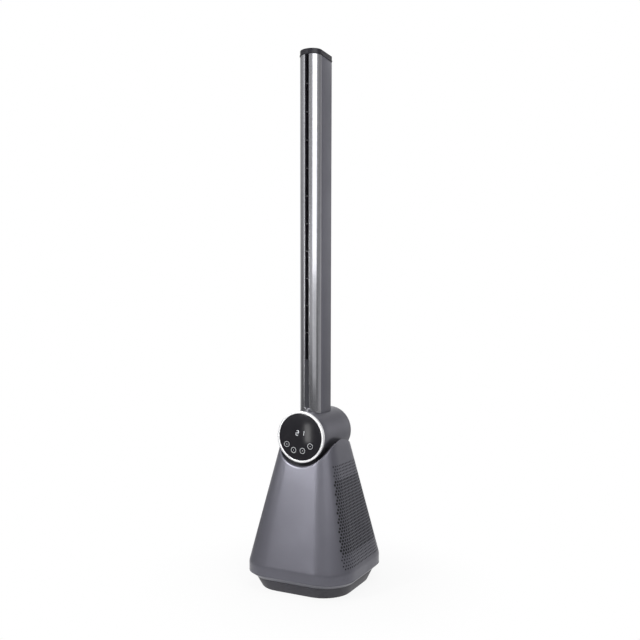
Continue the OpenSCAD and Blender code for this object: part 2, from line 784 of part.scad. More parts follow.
module grille_right() color(body_grey) grille_panel();
module grille_left() color(body_grey) mirror([1, 0, 0]) grille_panel();

module saddle_cradle() color(body_grey) difference() {
    union() {
        difference() {
            intersection() {
                pyramid(face_wall + fit_gap, neck_z0, shell_top_z);
                on_drum(saddle_r + cradle_t, -base_half_w, base_half_w);
            }
            on_drum(saddle_r, -base_half_w, base_half_w);
        }
        for (sx = [-1, 1]) for (sy = [-1, 1]) translate([sx * cradle_screw_x, sy * cradle_screw_y, cradle_boss_z0])
            cylinder(r = screw_head_r + cradle_boss_wall, h = cradle_boss_l);
    }
    block(0, 0, neck_half_w + fit_gap, neck_half_l + fit_gap, neck_z0 - bite, drum_z);
    for (sx = [-1, 1]) for (sy = [-1, 1])
        translate([sx * cradle_screw_x, sy * cradle_screw_y, cradle_seat_z - cradle_screw_len - hole_spare])
            cylinder(r = screw_r + run_gap, h = cradle_screw_len + 2 * hole_spare, $fn = 24);
}

module main_board() color(board_green) {
    z = tray_floor_z + standoff_h;
    difference() {
        union() {
            block(0, board_y, board_half_w, board_half_l, z, z + board_t);
            for (b = board_blocks) block(b[0], board_y + b[1], b[2], b[3], z, z + b[4]);
            for (c = board_cans)
                translate([c[0], board_y + c[1], z]) cylinder(r = c[2], h = c[3], $fn = 32);
        }
        for (sx = [-1, 1]) for (sy = [-1, 1])
            translate([sx * (board_half_w - standoff_inset), board_y + sy * (board_half_l - standoff_inset),
                z - bite]) cylinder(r = screw_r + run_gap, h = board_t + 2 * bite, $fn = 24);
    }
}

module small_screws() color(steel) {
    for (sx = [-1, 1]) {
        for (sy = [-1, 1])
            translate([sx * (board_half_w - standoff_inset), board_y + sy * (board_half_l - standoff_inset), 0])
                screw_down(tray_floor_z + standoff_h + board_t, small_screw_len);
        translate([sx * motor_ear_x, gear_centre, 0])
            screw_down(tray_floor_z + motor_ear_t, motor_screw_len);
    }
}

module shell_screws() color(steel)
    four_corners(shell_boss) screw_up(tray_z + bite - run_gap, shell_screw_len);

// Oscillation drive

module osc_motor() color(steel) difference() {
    union() {
        translate([0, gear_centre, tray_floor_z]) cylinder(r = osc_motor_r, h = osc_motor_h);
        block(0, gear_centre, motor_ear_x + motor_ear_half, motor_ear_half,
            tray_floor_z, tray_floor_z + motor_ear_t);
    }
    translate([0, gear_centre, tray_floor_z - bite])
        cylinder(r = osc_shaft_r + run_gap, h = osc_motor_h + bite - motor_cap_t, $fn = 32);
    for (sx = [-1, 1]) translate([sx * motor_ear_x, gear_centre, tray_floor_z - bite])
        cylinder(r = screw_r + run_gap, h = motor_ear_t + 2 * bite, $fn = 24);
}

module osc_shaft() color(steel)
    translate([0, gear_centre, gear_z])
        cylinder(r = osc_shaft_r, h = tray_floor_z + osc_motor_h - 2 * motor_cap_t - gear_z, $fn = 32);

module osc_pinion() color(white_plastic) translate([0, gear_centre, gear_z]) difference() {
    union() {
        rotate(180 / pinion_teeth + 90) linear_extrude(gear_w) polygon(gear_outline(pinion_teeth));
        cylinder(r = pinion_hub_r, h = tray_floor_z - gear_z - pinion_drop);
    }
    translate([0, 0, -bite]) cylinder(r = osc_shaft_r + run_gap, h = tray_floor_z, $fn = 32);
}

// Blower

module isolators() color(rubber_black) four_corners(blower_post) translate([0, 0, post_top]) difference() {
    cylinder(r = isolator_r, h = isolator_h);
    translate([0, 0, -bite]) cylinder(r = screw_r + run_gap, h = isolator_h + 2 * bite, $fn = 24);
}

module blower_screws() color(steel)
    four_corners(blower_post) screw_down(blower_z0 + ear_t, ear_t + isolator_h + blower_screw_grip);

// Round mouth of the blower: a curved lip and a flat rim under the housing
module inlet_bell() color(foot_grey) translate([0, 0, blower_z0 - bell_r]) rotate_extrude($fn = 96)
    polygon(concat(
        [for (a = [180:-10:90]) [throat_r + bell_r, 0] + bell_r * [cos(a), sin(a)]],
        [[housing_in_r + housing_t, bell_r], [housing_in_r + housing_t, bell_r - bell_t]],
        [for (a = [90:10:180]) [throat_r + bell_r, 0] + (bell_r - bell_t) * [cos(a), sin(a)]]));

module blower_housing() color(white_plastic) difference() {
    union() {
        translate([0, 0, blower_z0 + bell_gap])
            cylinder(r = housing_in_r + housing_t, h = housing_top_z - blower_z0 - bell_gap);
        four_corners(blower_post) translate([0, 0, blower_z0]) cylinder(r = ear_r, h = ear_t);
        for (a = [45:90:315]) rotate(a) translate([housing_in_r + bite, -ear_web_half, blower_z0])
            cube([blower_post * sqrt(2) - housing_in_r, 2 * ear_web_half, ear_t]);
    }
    translate([0, 0, blower_z0 - bite]) cylinder(r = housing_in_r, h = housing_top_z - blower_z0 + 2 * bite);
    four_corners(blower_post) translate([0, 0, blower_z0 - bite])
        cylinder(r = screw_r + fit_gap, h = ear_t + 2 * bite, $fn = 24);
}

// Curved vane between two radii, as a flat outline of even thickness
module vane_outline(r0, r1, sweep, t) {
    steps = 8;
    mid = [for (i = [0:steps]) let (r = r0 + (r1 - r0) * i / steps, a = sweep * (i / steps) * (i / steps)) [r, a]];
    polygon(concat([for (p = mid) p[0] * [cos(p[1]), sin(p[1])] + t / 2 * [-sin(p[1]), cos(p[1])]],
        [for (i = [steps:-1:0]) let (p = mid[i])
            p[0] * [cos(p[1]), sin(p[1])] - t / 2 * [-sin(p[1]), cos(p[1])]]));
}

module diffuser() color(white_plastic) {
    cup_r = motor_r + cup_gap + cup_t;
    difference() {
        union() {
            translate([0, 0, vane_z0]) cylinder(r = cup_r, h = motor_h + cup_over);
            difference() {
                translate([0, 0, vane_z0]) cylinder(r = housing_in_r - fit_gap, h = vane_h);
                translate([0, 0, vane_z0 - bite])
                    cylinder(r = housing_in_r - fit_gap - cup_t, h = vane_h + 2 * bite);
            }
            for (i = [0:vane_count - 1]) rotate(360 * i / vane_count) translate([0, 0, vane_z0])
                linear_extrude(vane_h) vane_outline(cup_r - 1, housing_in_r - fit_gap - 1, vane_sweep, vane_t);
        }
        translate([0, 0, vane_z0 - bite])
            cylinder(r = motor_r + cup_gap, h = motor_h + cup_over - cup_roof + bite);
    }
}

module motor_can() color(steel) translate([0, 0, motor_z0]) difference() {
    cylinder(r = motor_r, h = motor_h);
    translate([0, 0, -bite]) cylinder(r = motor_r - motor_t, h = motor_h - bearing_t - motor_top_t);
    translate([0, 0, motor_h - bearing_t - motor_top_t - 2 * bite])
        cylinder(r = bearing_r + run_gap, h = bearing_t + 2 * bite);
    cylinder(r = rotor_shaft_r + shaft_room, h = motor_h + bite, $fn = 32);
}

module motor_lid() color(steel) translate([0, 0, motor_z0]) difference() {
    cylinder(r = motor_r - motor_t - run_gap, h = bearing_t + lid_t);
    translate([0, 0, lid_t]) cylinder(r = bearing_r + run_gap, h = bearing_t + bite);
    translate([0, 0, -bite]) cylinder(r = rotor_shaft_r + shaft_room, h = bearing_t, $fn = 32);
}

module motor_bearings() color(silver)
    for (z = [motor_z0 + lid_t, motor_z0 + motor_h - motor_top_t - bearing_t]) translate([0, 0, z]) difference() {
        cylinder(r = bearing_r, h = bearing_t - 2 * run_gap);
        translate([0, 0, -bite]) cylinder(r = rotor_shaft_r + run_gap, h = bearing_t + 2 * bite, $fn = 32);
    }

module motor_stator() color("#9a5a34") translate([0, 0, stator_z]) difference() {
    cylinder(r = motor_r - motor_t - run_gap, h = stator_h);
    translate([0, 0, -bite]) cylinder(r = stator_in_r, h = stator_h + 2 * bite);
    for (i = [0:stator_slots - 1]) rotate(360 * i / stator_slots) translate([rotor_r, -stator_slot_w / 2, -bite])
        cube([stator_slot_r - rotor_r, stator_slot_w, stator_h + 2 * bite]);
}

module motor_rotor() color("#3b3b40") translate([0, 0, stator_z]) difference() {
    cylinder(r = rotor_r, h = stator_h);
    translate([0, 0, -bite]) cylinder(r = rotor_shaft_r + run_gap / 2, h = stator_h + 2 * bite, $fn = 32);
}

module rotor_shaft() color(steel)
    translate([0, 0, shaft_z0]) cylinder(r = rotor_shaft_r, h = shaft_z1 - shaft_z0, $fn = 32);

// Point on the underside of the impeller's hub, from its middle at 0 to its rim at 1
function hub_surface(t) = [impeller_hub_r + (impeller_r - impeller_rim - impeller_hub_r) * t,
    impeller_z0 + impeller_h * t * t];
// Point on the underside of the impeller's shroud, from its mouth at 0 to its rim at 1
function shroud_surface(t) = let (mouth_r = throat_r + shroud_lift)
    [mouth_r + (impeller_r - mouth_r) * t, impeller_z0 + shroud_lift + shroud_h * t * t];

module impeller() color(foot_grey) {
    steps = 10;
    hub = [for (i = [0:steps]) hub_surface(i / steps)];
    shroud = [for (i = [0:steps]) shroud_surface(i / steps)];
    lift = [0, hub_skin];
    difference() {
        union() {
            rotate_extrude($fn = 96) polygon(concat([[0, impeller_z0]], hub,
                [for (i = [steps:-1:0]) hub[i] + lift], [[0, impeller_z0 + hub_skin]]));
            rotate_extrude($fn = 96)
                polygon(concat(shroud, [for (i = [steps:-1:0]) shroud[i] + [0, shroud_skin]]));
            translate([0, 0, impeller_z0]) cylinder(r = impeller_hub_r, h = impeller_h);
            intersection() {
                for (i = [0:blade_count - 1]) rotate(360 * i / blade_count) translate([0, 0, impeller_z0 - bite])
                    linear_extrude(impeller_h + 2 * hub_skin)
                        vane_outline(blade_in_r, impeller_r - 1, blade_sweep, blade_t);
                rotate_extrude($fn = 96) polygon(concat([for (p = hub) p + lift / 2],
                    [for (i = [steps:-1:0]) [shroud[i].x, shroud[i].y + shroud_skin / 2]]));
            }
        }
        translate([0, 0, impeller_z0 - bite])
            cylinder(r = rotor_shaft_r + run_gap / 2, h = impeller_h + 2 * bite, $fn = 32);
    }
}

module spinner_nut() color(steel) translate([0, 0, shaft_z0 + nut_lift]) difference() {
    cylinder(r = nut_r, h = nut_h, $fn = 6);
    translate([0, 0, -bite]) cylinder(r = rotor_shaft_r + run_gap / 2, h = nut_h + 2 * bite, $fn = 32);
}

module riser_duct() color(white_plastic) difference() {
    hull() {
        translate([0, 0, housing_top_z]) cylinder(r = housing_in_r + housing_t, h = riser_rim, $fn = 48);
        block(0, 0, riser_half_w, riser_half_l, riser_top_z - riser_rim, riser_top_z);
    }
    hull() {
        translate([0, 0, housing_top_z - bite]) cylinder(r = housing_in_r, h = riser_rim, $fn = 48);
        block(0, 0, air_half_w, neck_air_half_l + 1, riser_top_z - riser_rim, riser_top_z + bite);
    }
}

module riser_gasket() color(rubber_black) difference() {
    block(0, 0, riser_half_w, riser_half_l, riser_top_z, neck_z0);
    block(0, 0, air_half_w, neck_air_half_l, riser_top_z - bite, neck_z0 + bite);
}

// Neck and drum

module neck_duct() color(foot_grey) difference() {
    union() {
        difference() {
            block(0, 0, neck_half_w, neck_half_l, neck_z0, drum_z);
            on_drum(core_r + run_gap, -base_half_w, base_half_w);
        }
        intersection() {
            difference() {
                on_drum(saddle_r - fit_gap, -flange_half_l, flange_half_l);
                on_drum(saddle_r - fit_gap - flange_t, -base_half_w, base_half_w);
            }
            drum_wedge(180, flange_angle, -flange_half_l, flange_half_l);
        }
    }
    block(0, 0, air_half_w, neck_air_half_l, neck_z0 - bite, drum_z);
    for (sy = [-1, 1]) translate([0, sy * neck_screw_y, neck_z0 - bite]) {
        cylinder(r = screw_r + fit_gap, h = drum_z - neck_z0, $fn = 24);
        cylinder(r = screw_head_r + fit_gap, h = neck_head_z + screw_head_h - neck_z0 + bite, $fn = 24);
    }
    for (sx = [-1, 1]) for (sy = [-1, 1]) translate([sx * cradle_screw_x, sy * cradle_screw_y, neck_z0]) {
        cylinder(r = screw_r + fit_gap, h = drum_z - neck_z0, $fn = 24);
        translate([0, 0, cradle_seat_z - neck_z0])
            cylinder(r = screw_head_r + fit_gap, h = drum_z - cradle_seat_z, $fn = 24);
    }
}

module neck_screws() color(steel)
    for (sy = [-1, 1]) translate([0, sy * neck_screw_y, 0]) screw_up(neck_head_z, neck_screw_len);

module cradle_screws() color(steel)
    for (sx = [-1, 1]) for (sy = [-1, 1])
        translate([sx * cradle_screw_x, sy * cradle_screw_y, 0]) screw_down(cradle_seat_z, cradle_screw_len);

module drum_core() color(foot_grey) difference() {
    union() {
        difference() {
            on_drum(core_r, -core_front, core_back);
            on_drum(core_in_r, -core_front - bite, core_back + bite);
        }
        on_drum(core_in_r + bite, -bulkhead_front, bulkhead_t - bulkhead_front);
        on_drum(core_in_r + bite, bulkhead_back, bulkhead_back + bulkhead_t);
        intersection() {
            for (sy = [-1, 1]) translate([0, sy * neck_screw_y, drum_z - core_r])
                cylinder(r = neck_boss_r, h = neck_boss_l);
            on_drum(core_r - bite, -core_front, core_back);
        }
    }
    drum_wedge(0, air_window_angle, -nose_root - nose_depth + col_wall, col_back - col_wall - 1);
    block(0, 0, air_half_w, neck_air_half_l, drum_z - core_r - bite, drum_z);
    for (sy = [-1, 1]) translate([0, sy * neck_screw_y, drum_z - core_r - bite])
        cylinder(r = screw_r + run_gap, h = neck_boss_l - hole_spare, $fn = 24);
}

module bush(y0) difference() {
    on_drum(sleeve_in_r - run_gap, y0, y0 + bush_len);
    on_drum(core_r + run_gap / 2, y0 - bite, y0 + bush_len + bite);
}
module bush_front() color(white_plastic) bush(-sleeve_front + 1);
module bush_rear() color(white_plastic) bush(lip_y0 - 1 - bush_len);

module rear_cap() color(foot_grey) difference() {
    union() {
        on_drum(sleeve_in_r - fit_gap, core_back + rear_cap_gap, sleeve_back - rear_cap_sink);
        on_drum(core_in_r - fit_gap, core_back - rear_cap_skirt, core_back + bite);
    }
    on_drum(core_in_r - fit_gap - core_wall, core_back - rear_cap_skirt - bite, core_back + bite);
}

// Profile of the silver ring: face, shelf for the glass, and a skirt inside the core
module display_ring() color(silver)
    translate([0, -ring_front, drum_z]) rotate([-90, 0, 0]) rotate_extrude($fn = 120) {
        shelf = glass_sink + glass_t + fit_gap;
        skirt_r = core_in_r - fit_gap;
        polygon([[ring_open_r, 0], [ring_r - ring_bevel, 0], [ring_r, ring_bevel], [ring_r, ring_depth],
            [skirt_r, ring_depth], [skirt_r, ring_depth + ring_skirt],
            [skirt_r - ring_skirt_t, ring_depth + ring_skirt], [skirt_r - ring_skirt_t, shelf],
            [ring_open_r, shelf]]);
    }

module display_glass() color(glass_black)
    on_drum(ring_open_r - fit_gap / 2, -ring_front + glass_sink, -ring_front + glass_sink + glass_t);

module touch_board() color(board_green) difference() {
    y0 = glass_back_y + 2 * fit_gap;
    on_drum(core_in_r - 2 * fit_gap - ring_skirt_t, y0, y0 + board_t);
    translate([-digit_half_w - fit_gap, y0 - bite, digit_z - digit_half_h - fit_gap])
        cube([2 * (digit_half_w + fit_gap), board_t + 2 * bite, 2 * (digit_half_h + fit_gap)]);
}

module digit_module() color(rubber_black)
    translate([-digit_half_w, glass_back_y + fit_gap, digit_z - digit_half_h])
        cube([2 * digit_half_w, digit_depth, 2 * digit_half_h]);

// Head: sleeve and column

// Outline of the column, drawn in by t from the outside
function column_outline(t) = let (a = col_half_w - t, b = nose_depth - t, y1 = col_back - t,
    r = max(col_back_r - t, least_r))
    concat([for (i = [0:nose_steps]) let (u = 180 + 180 * i / nose_steps) [a * cos(u), b * sin(u) - nose_root]],
        [for (i = [0:back_steps]) let (u = 90 * i / back_steps) [a - r + r * cos(u), y1 - r + r * sin(u)]],
        [for (i = [0:back_steps]) let (u = 90 + 90 * i / back_steps) [-a + r + r * cos(u), y1 - r + r * sin(u)]]);

module drum_sleeve() color(body_grey) difference() {
    union() {
        difference() {
            union() {
                on_drum(sleeve_r, -sleeve_front, sleeve_back);
                translate([0, 0, drum_z]) linear_extrude(socket_h) polygon(column_outline(col_wall + fit_gap));
            }
            on_drum(sleeve_in_r, -sleeve_front - bite, sleeve_back + bite);
            translate([0, 0, drum_z]) linear_extrude(socket_h + bite)
                polygon(column_outline(col_wall + fit_gap + socket_wall));
        }
        difference() {
            on_drum(sleeve_in_r + bite, lip_y0, lip_y1);
            on_drum(lip_r, lip_y0 - bite, lip_y1 + bite);
        }
        for (z = col_screw_z) for (sx = [-1, 1])
            translate([sx * col_screw_x, col_back - col_wall - fit_gap - bite, z]) rotate([90, 0, 0])
                cylinder(r = col_boss_r, h = col_boss_l, $fn = 32);
    }
    drum_wedge(180, sleeve_slot_angle, -neck_half_l - neck_slot_play, neck_half_l + neck_slot_play);
    for (z = col_screw_z) for (sx = [-1, 1]) translate([sx * col_screw_x, col_back, z]) rotate([90, 0, 0])
        cylinder(r = screw_r + run_gap, h = col_wall + fit_gap + col_boss_l + hole_spare, $fn = 24);
}

module column_front_cover() color(front_grey) difference() {
    translate([0, 0, col_z0]) linear_extrude(col_top_z - col_z0) difference() {
        polygon(column_outline(0));
        polygon(column_outline(col_wall));
        translate([-2 * col_half_w, -nose_root - seam_gap]) square([4 * col_half_w, 4 * col_half_w]);
    }
    on_drum(sleeve_r + fit_gap, -base_half_w, base_half_w);
    translate([-slot_w / 2, -nose_root - nose_depth - bite, strip_z0 - strip_play])
        cube([slot_w, nose_depth, total_h]);
}

module column_rear_cover() color(body_grey) difference() {
    translate([0, 0, col_z0]) linear_extrude(col_top_z - col_z0) difference() {
        polygon(column_outline(0));
        polygon(column_outline(col_wall));
        translate([-2 * col_half_w, -nose_root + seam_gap - 4 * col_half_w])
            square([4 * col_half_w, 4 * col_half_w]);
    }
    on_drum(sleeve_r + fit_gap, -base_half_w, base_half_w);
    for (z = col_screw_z) for (sx = [-1, 1])
        translate([sx * col_screw_x, col_back + bite, z]) rotate([90, 0, 0]) {
            cylinder(r = screw_r + fit_gap, h = col_wall + 2 * bite, $fn = 24);
            cylinder(r = screw_head_r + fit_gap, h = col_head_h + bite, $fn = 24);
        }
}

// Outline of the right-hand nozzle lip: a wall beside the jet and a flange behind the front cover
module lip_outline() {
    front = -nose_root - nose_depth + lip_sink;
    translate([jet_w / 2, front]) square([lip_wall, lip_deep]);
    translate([jet_w / 2, -lip_flange_y]) square([lip_flange_half - jet_w / 2, lip_flange_t]);
}

module nozzle_lip_right() color(cap_grey)
    translate([0, 0, outlet_z0]) linear_extrude(col_top_z - outlet_z0 - fit_gap) lip_outline();
module nozzle_lip_left() color(cap_grey)
    translate([0, 0, outlet_z0]) linear_extrude(col_top_z - outlet_z0 - fit_gap) mirror([1, 0]) lip_outline();

module slot_ribs() color(cap_grey)
    for (k = [1:rib_count])
        block(0, -nose_root - nose_depth + lip_sink + lip_deep / 2, jet_w / 2 - run_gap, lip_deep / 2 - rib_sink,
            outlet_z0 + k * rib_pitch - rib_t / 2, outlet_z0 + k * rib_pitch + rib_t / 2);

module slot_strip() color(body_grey) {
    front = -nose_root - nose_depth + strip_sink;
    top = outlet_z0 - fit_gap;
    translate([-slot_w / 2 + fit_gap / 2, front, strip_z0])
        cube([slot_w - fit_gap, strip_t, top - strip_z0]);
    translate([-slot_w / 2 + fit_gap / 2, front, web_z0])
        cube([slot_w - fit_gap, lip_flange_t - lip_flange_y - front, top - web_z0]);
    translate([-lip_flange_half, -lip_flange_y, web_z0]) cube([2 * lip_flange_half, lip_flange_t, top - web_z0]);
}

module air_guide() color(foot_grey) {
    half = col_half_w - col_wall - fit_gap;
    back = col_back - col_wall - fit_gap;
    front = -nose_root + guide_front;
    translate([-half, 0, 0]) rotate([90, 0, 90]) linear_extrude(2 * half)
        polygon([[back - 3 * guide_t, guide_z0], [back, guide_z0], [back, guide_z0 + guide_foot],
            [front + guide_t, guide_z1], [front, guide_z1]]);
}

module column_screws() color(steel)
    for (z = col_screw_z) for (sx = [-1, 1])
        translate([sx * col_screw_x, col_back - col_head_h, z]) rotate([-90, 0, 0])
            screw_down(0, col_wall + fit_gap + col_boss_l - col_head_h, col_head_h);

module column_cap() color(cap_grey) {
    translate([0, 0, col_top_z]) linear_extrude(cap_lip_h) polygon(column_outline(-cap_out));
    translate([0, 0, col_top_z + cap_lip_h - bite]) linear_extrude(cap_h - cap_lip_h - cap_edge + bite)
        polygon(column_outline(-cap_out + cap_step));
    translate([0, 0, total_h - cap_edge - bite]) linear_extrude(cap_edge + bite)
        polygon(column_outline(-cap_out + cap_edge));
    translate([0, 0, col_top_z - cap_plug]) linear_extrude(cap_plug + bite) difference() {
        polygon(column_outline(col_wall + fit_gap));
        polygon(column_outline(col_wall + fit_gap + cap_plug_t));
        translate([-lip_flange_half - fit_gap, -nose_root - nose_depth])
            square([2 * (lip_flange_half + fit_gap), lip_deep + lip_flange_t + cap_plug_t]);
    }
}

foot_pan();
foot_pads();
ballast_plate();
hub_gear();
hub_screws();
slide_ring();
thrust_washer();
retaining_ring();
dc_inlet();
inlet_board();
chassis_tray();
base_shell();
grille_right();
grille_left();
saddle_cradle();
main_board();
small_screws();
shell_screws();
osc_motor();
osc_shaft();
osc_pinion();
isolators();
blower_screws();
inlet_bell();
blower_housing();
diffuser();
motor_can();
motor_lid();
motor_stator();
motor_bearings();
impeller();
rotor_shaft();
motor_rotor();
spinner_nut();
riser_duct();
riser_gasket();
neck_duct();
neck_screws();
cradle_screws();
drum_core();
bush_front();
bush_rear();
rear_cap();
display_ring();
display_glass();
touch_board();
digit_module();
drum_sleeve();
column_front_cover();
column_rear_cover();
nozzle_lip_left();
nozzle_lip_right();
slot_ribs();
slot_strip();
air_guide();
column_screws();
column_cap();
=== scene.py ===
"""Dresses the bladeless tower fan in its finishes and sets up the studio around it.

Everything is in metres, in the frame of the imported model: the origin is on the floor
under the middle of the base, +Z is up and the display faces -Y.
"""

from __future__ import annotations

import json
import logging
import math
from contextlib import contextmanager
from dataclasses import dataclass, field, replace
from enum import Enum
from functools import cache
from typing import Callable, Iterator, Sequence

import bmesh
import bpy
from mathutils import Matrix, Vector

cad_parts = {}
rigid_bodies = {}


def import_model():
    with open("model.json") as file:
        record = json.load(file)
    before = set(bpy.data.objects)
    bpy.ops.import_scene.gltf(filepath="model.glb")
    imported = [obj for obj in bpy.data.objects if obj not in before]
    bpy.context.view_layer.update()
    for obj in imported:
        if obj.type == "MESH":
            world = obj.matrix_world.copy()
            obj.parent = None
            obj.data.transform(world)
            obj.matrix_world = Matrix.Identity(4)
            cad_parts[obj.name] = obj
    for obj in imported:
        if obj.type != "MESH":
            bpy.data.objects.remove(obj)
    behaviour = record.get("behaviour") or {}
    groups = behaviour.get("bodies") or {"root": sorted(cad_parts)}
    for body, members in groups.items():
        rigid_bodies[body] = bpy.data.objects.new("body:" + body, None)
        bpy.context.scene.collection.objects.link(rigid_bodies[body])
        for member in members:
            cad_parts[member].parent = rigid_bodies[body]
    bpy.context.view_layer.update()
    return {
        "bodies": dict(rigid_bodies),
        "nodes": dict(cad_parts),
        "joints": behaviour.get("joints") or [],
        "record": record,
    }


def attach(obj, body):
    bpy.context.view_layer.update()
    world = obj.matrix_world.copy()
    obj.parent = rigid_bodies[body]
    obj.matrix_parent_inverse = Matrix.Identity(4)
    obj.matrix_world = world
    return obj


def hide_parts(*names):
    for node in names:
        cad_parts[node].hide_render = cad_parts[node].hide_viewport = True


LOG = logging.getLogger("tower_fan")
AXIS_Z = 0.293
NEAR = 1e-5
X, Y, Z = range(3)
Colour = tuple[float, float, float]
Corner = tuple[float, float, float]
EdgeTest = Callable[[Vector, Vector], bool]


class Element(Enum):
    """What is selected in edit mode."""

    VERT = "VERT"
    EDGE = "EDGE"
    FACE = "FACE"


class Slot(Enum):
    """The record's material slots."""

    BODY = "body_plastic"
    FOOT = "foot_plastic"
    FRONT = "front_metallic"
    CAP = "cap_plastic"
    DUCT = "duct_plastic"
    BEARING = "bearing_plastic"
    BLACK = "black_plastic"
    GLASS = "display_glass"
    SILVER = "silver_trim"
    STEEL = "steel"
    COPPER = "copper"
    MAGNET = "rotor_magnet"
    BOARD = "board"
    RUBBER = "rubber"


def release_all() -> None:
    """Deselects every object, because an operator acts on all that is selected."""
    for obj in list(bpy.context.selected_objects):
        obj.select_set(False)


class Workpiece:
    """A mesh that is shaped with modelling operators, with its place in its mesh."""

    def __init__(self, name: str) -> None:
        """Takes over the object that was just added.

        Args:
            name: The name of the piece.
        """
        self.obj: bpy.types.Object = bpy.context.active_object
        self.obj.name = name
        self.obj.data.name = name
        bpy.ops.object.transform_apply(location=True, rotation=True, scale=True)

    @classmethod
    def block(cls, name: str, low: Corner, high: Corner) -> Workpiece:
        """Adds a box.

        Args:
            name: The name of the piece.
            low: Its lowest corner.
            high: Its highest corner.

        Returns:
            The new workpiece.
        """
        release_all()
        middle = [(a + b) / 2 for a, b in zip(low, high)]
        size = [b - a for a, b in zip(low, high)]
        bpy.ops.mesh.primitive_cube_add(size=1.0, location=middle, scale=size)
        return cls(name)

    @classmethod
    def rod(
        cls, name: str, radius: float, start: Corner, end: Corner, sides: int, caps: bool = True
    ) -> Workpiece:
        """Adds a round bar between two points.

        Args:
            name: The name of the piece.
            radius: Its radius.
            start: The middle of its first end.
            end: The middle of its other end.
            sides: How many sides stand for the round.
            caps: Whether its ends are closed.

        Returns:
            The new workpiece.
        """
        release_all()
        a, b = Vector(start), Vector(end)
        bpy.ops.mesh.primitive_cylinder_add(
            vertices=sides,
            radius=radius,
            depth=(b - a).length,
            end_fill_type="NGON" if caps else "NOTHING",
            location=(a + b) / 2,
            rotation=(b - a).to_track_quat("Z", "Y").to_euler(),
        )
        return cls(name)

    @classmethod
    def from_points(
        cls, name: str, points: Sequence[Corner], faces: Sequence[Sequence[int]]
    ) -> Workpiece:
        """Makes a mesh from computed points, for a form that operators can't give.

        Args:
            name: The name of the piece.
            points: Its vertices.
            faces: Its faces, as indices of the vertices.

        Returns:
            The new workpiece.
        """
        mesh = bpy.data.meshes.new(name)
        mesh.from_pydata(points, [], faces)
        obj = bpy.data.objects.new(name, mesh)
        bpy.context.collection.objects.link(obj)
        release_all()
        obj.select_set(True)
        bpy.context.view_layer.objects.active = obj
        return cls(name)

    def hold(self) -> None:
        """Makes this the only selected and the active object."""
        release_all()
        self.obj.select_set(True)
        bpy.context.view_layer.objects.active = self.obj

    @contextmanager
    def editing(self) -> Iterator[None]:
        """Edit mode with nothing selected, and back to object mode after it."""
        self.hold()
        bpy.ops.object.mode_set(mode="EDIT")
        bpy.ops.mesh.select_all(action="DESELECT")
        yield
        bpy.ops.object.mode_set(mode="OBJECT")

    def pick(self, kind: Element, test: Callable[..., bool]) -> None:
        """Selects elements by their place or normal, in edit mode.

        Args:
            kind: Which kind of element.
            test: Says whether an element is wanted.
        """
        bpy.ops.mesh.select_mode(type=kind.value)
        bpy.ops.mesh.select_all(action="DESELECT")
        bm = bmesh.from_edit_mesh(self.obj.data)
        bm.normal_update()
        group = {Element.VERT: bm.verts, Element.EDGE: bm.edges, Element.FACE: bm.faces}[kind]
        for item in [item for item in group if test(item)]:
            item.select_set(True)
        bm.select_flush_mode()
        bmesh.update_edit_mesh(self.obj.data)

    def grow(self, rise: float) -> None:
        """Extrudes what is selected upwards, in edit mode."""
        bpy.ops.mesh.extrude_region_move(TRANSFORM_OT_translate={"value": (0, 0, rise)})

    def split(self, axis: int, places: Sequence[float]) -> None:
        """Splits the faces that cross certain places, in edit mode.

        Args:
            axis: The axis that the places lie along.
            places: Where the faces are split.
        """
        for place in places:
            spot = [place if i == axis else 0.0 for i in range(3)]
            bpy.ops.mesh.select_all(action="SELECT")
            bpy.ops.mesh.bisect(plane_co=spot, plane_no=[float(i == axis) for i in range(3)])

    def draw_in_corners(self, wanted: Callable[[Vector], bool], by: float) -> None:
        """Moves each quarter of a rounded square towards the middle, keeping its corner radius.

        Args:
            wanted: Says which vertices move, by their place.
            by: How far they move along X and along Y.
        """
        for sx, sy in ((-1, -1), (-1, 1), (1, -1), (1, 1)):
            self.pick(
                Element.VERT, lambda v: wanted(v.co) and v.co.x * sx > 0 and v.co.y * sy > 0
            )
            bpy.ops.transform.translate(value=(-sx * by, -sy * by, 0.0))

    def bevel_edges(self, test: EdgeTest, width: float, steps: int, clamp: bool = True) -> None:
        """Bevels edges by the places of their ends, in edit mode.

        Args:
            test: Says whether an edge between two places is wanted.
            width: How far the bevel reaches.
            steps: Its segments.
            clamp: Whether it stops where it would meet another edge.
        """
        self.pick(Element.EDGE, lambda e: test(e.verts[0].co, e.verts[1].co))
        bpy.ops.mesh.bevel(
            offset=width, offset_type="OFFSET", segments=steps, affect="EDGES", clamp_overlap=clamp
        )

    def bevel_along(
        self,
        axis: int,
        width: float,
        steps: int,
        wanted: Callable[[Vector], bool] = lambda _: True,
    ) -> None:
        """Bevels the edges of a box that run along an axis.

        Args:
            axis: The axis.
            width: How far the bevel reaches.
            steps: Its segments.
            wanted: Says whether an edge's end is in the right place.
        """
        with self.editing():
            self.bevel_edges(
                lambda a, b: abs(a[axis] - b[axis]) > NEAR and wanted(a) and wanted(b),
                width, steps,
            )

    def open_up(self, test: Callable[..., bool]) -> None:
        """Deletes the faces that pass a test."""
        with self.editing():
            self.pick(Element.FACE, test)
            bpy.ops.mesh.delete(type="FACE")

    def hollow(self, line: float) -> None:
        """Turns a disc that faces the front into a ring.

        Args:
            line: How wide the ring is.
        """
        with self.editing():
            for sign in (-1, 1):
                self.pick(Element.FACE, lambda f: f.normal.y * sign > 0.9 and len(f.verts) > 8)
                bpy.ops.mesh.inset(thickness=line)
                bpy.ops.mesh.delete(type="FACE")
            self.pick(Element.EDGE, lambda e: e.is_boundary)
            bpy.ops.mesh.bridge_edge_loops()

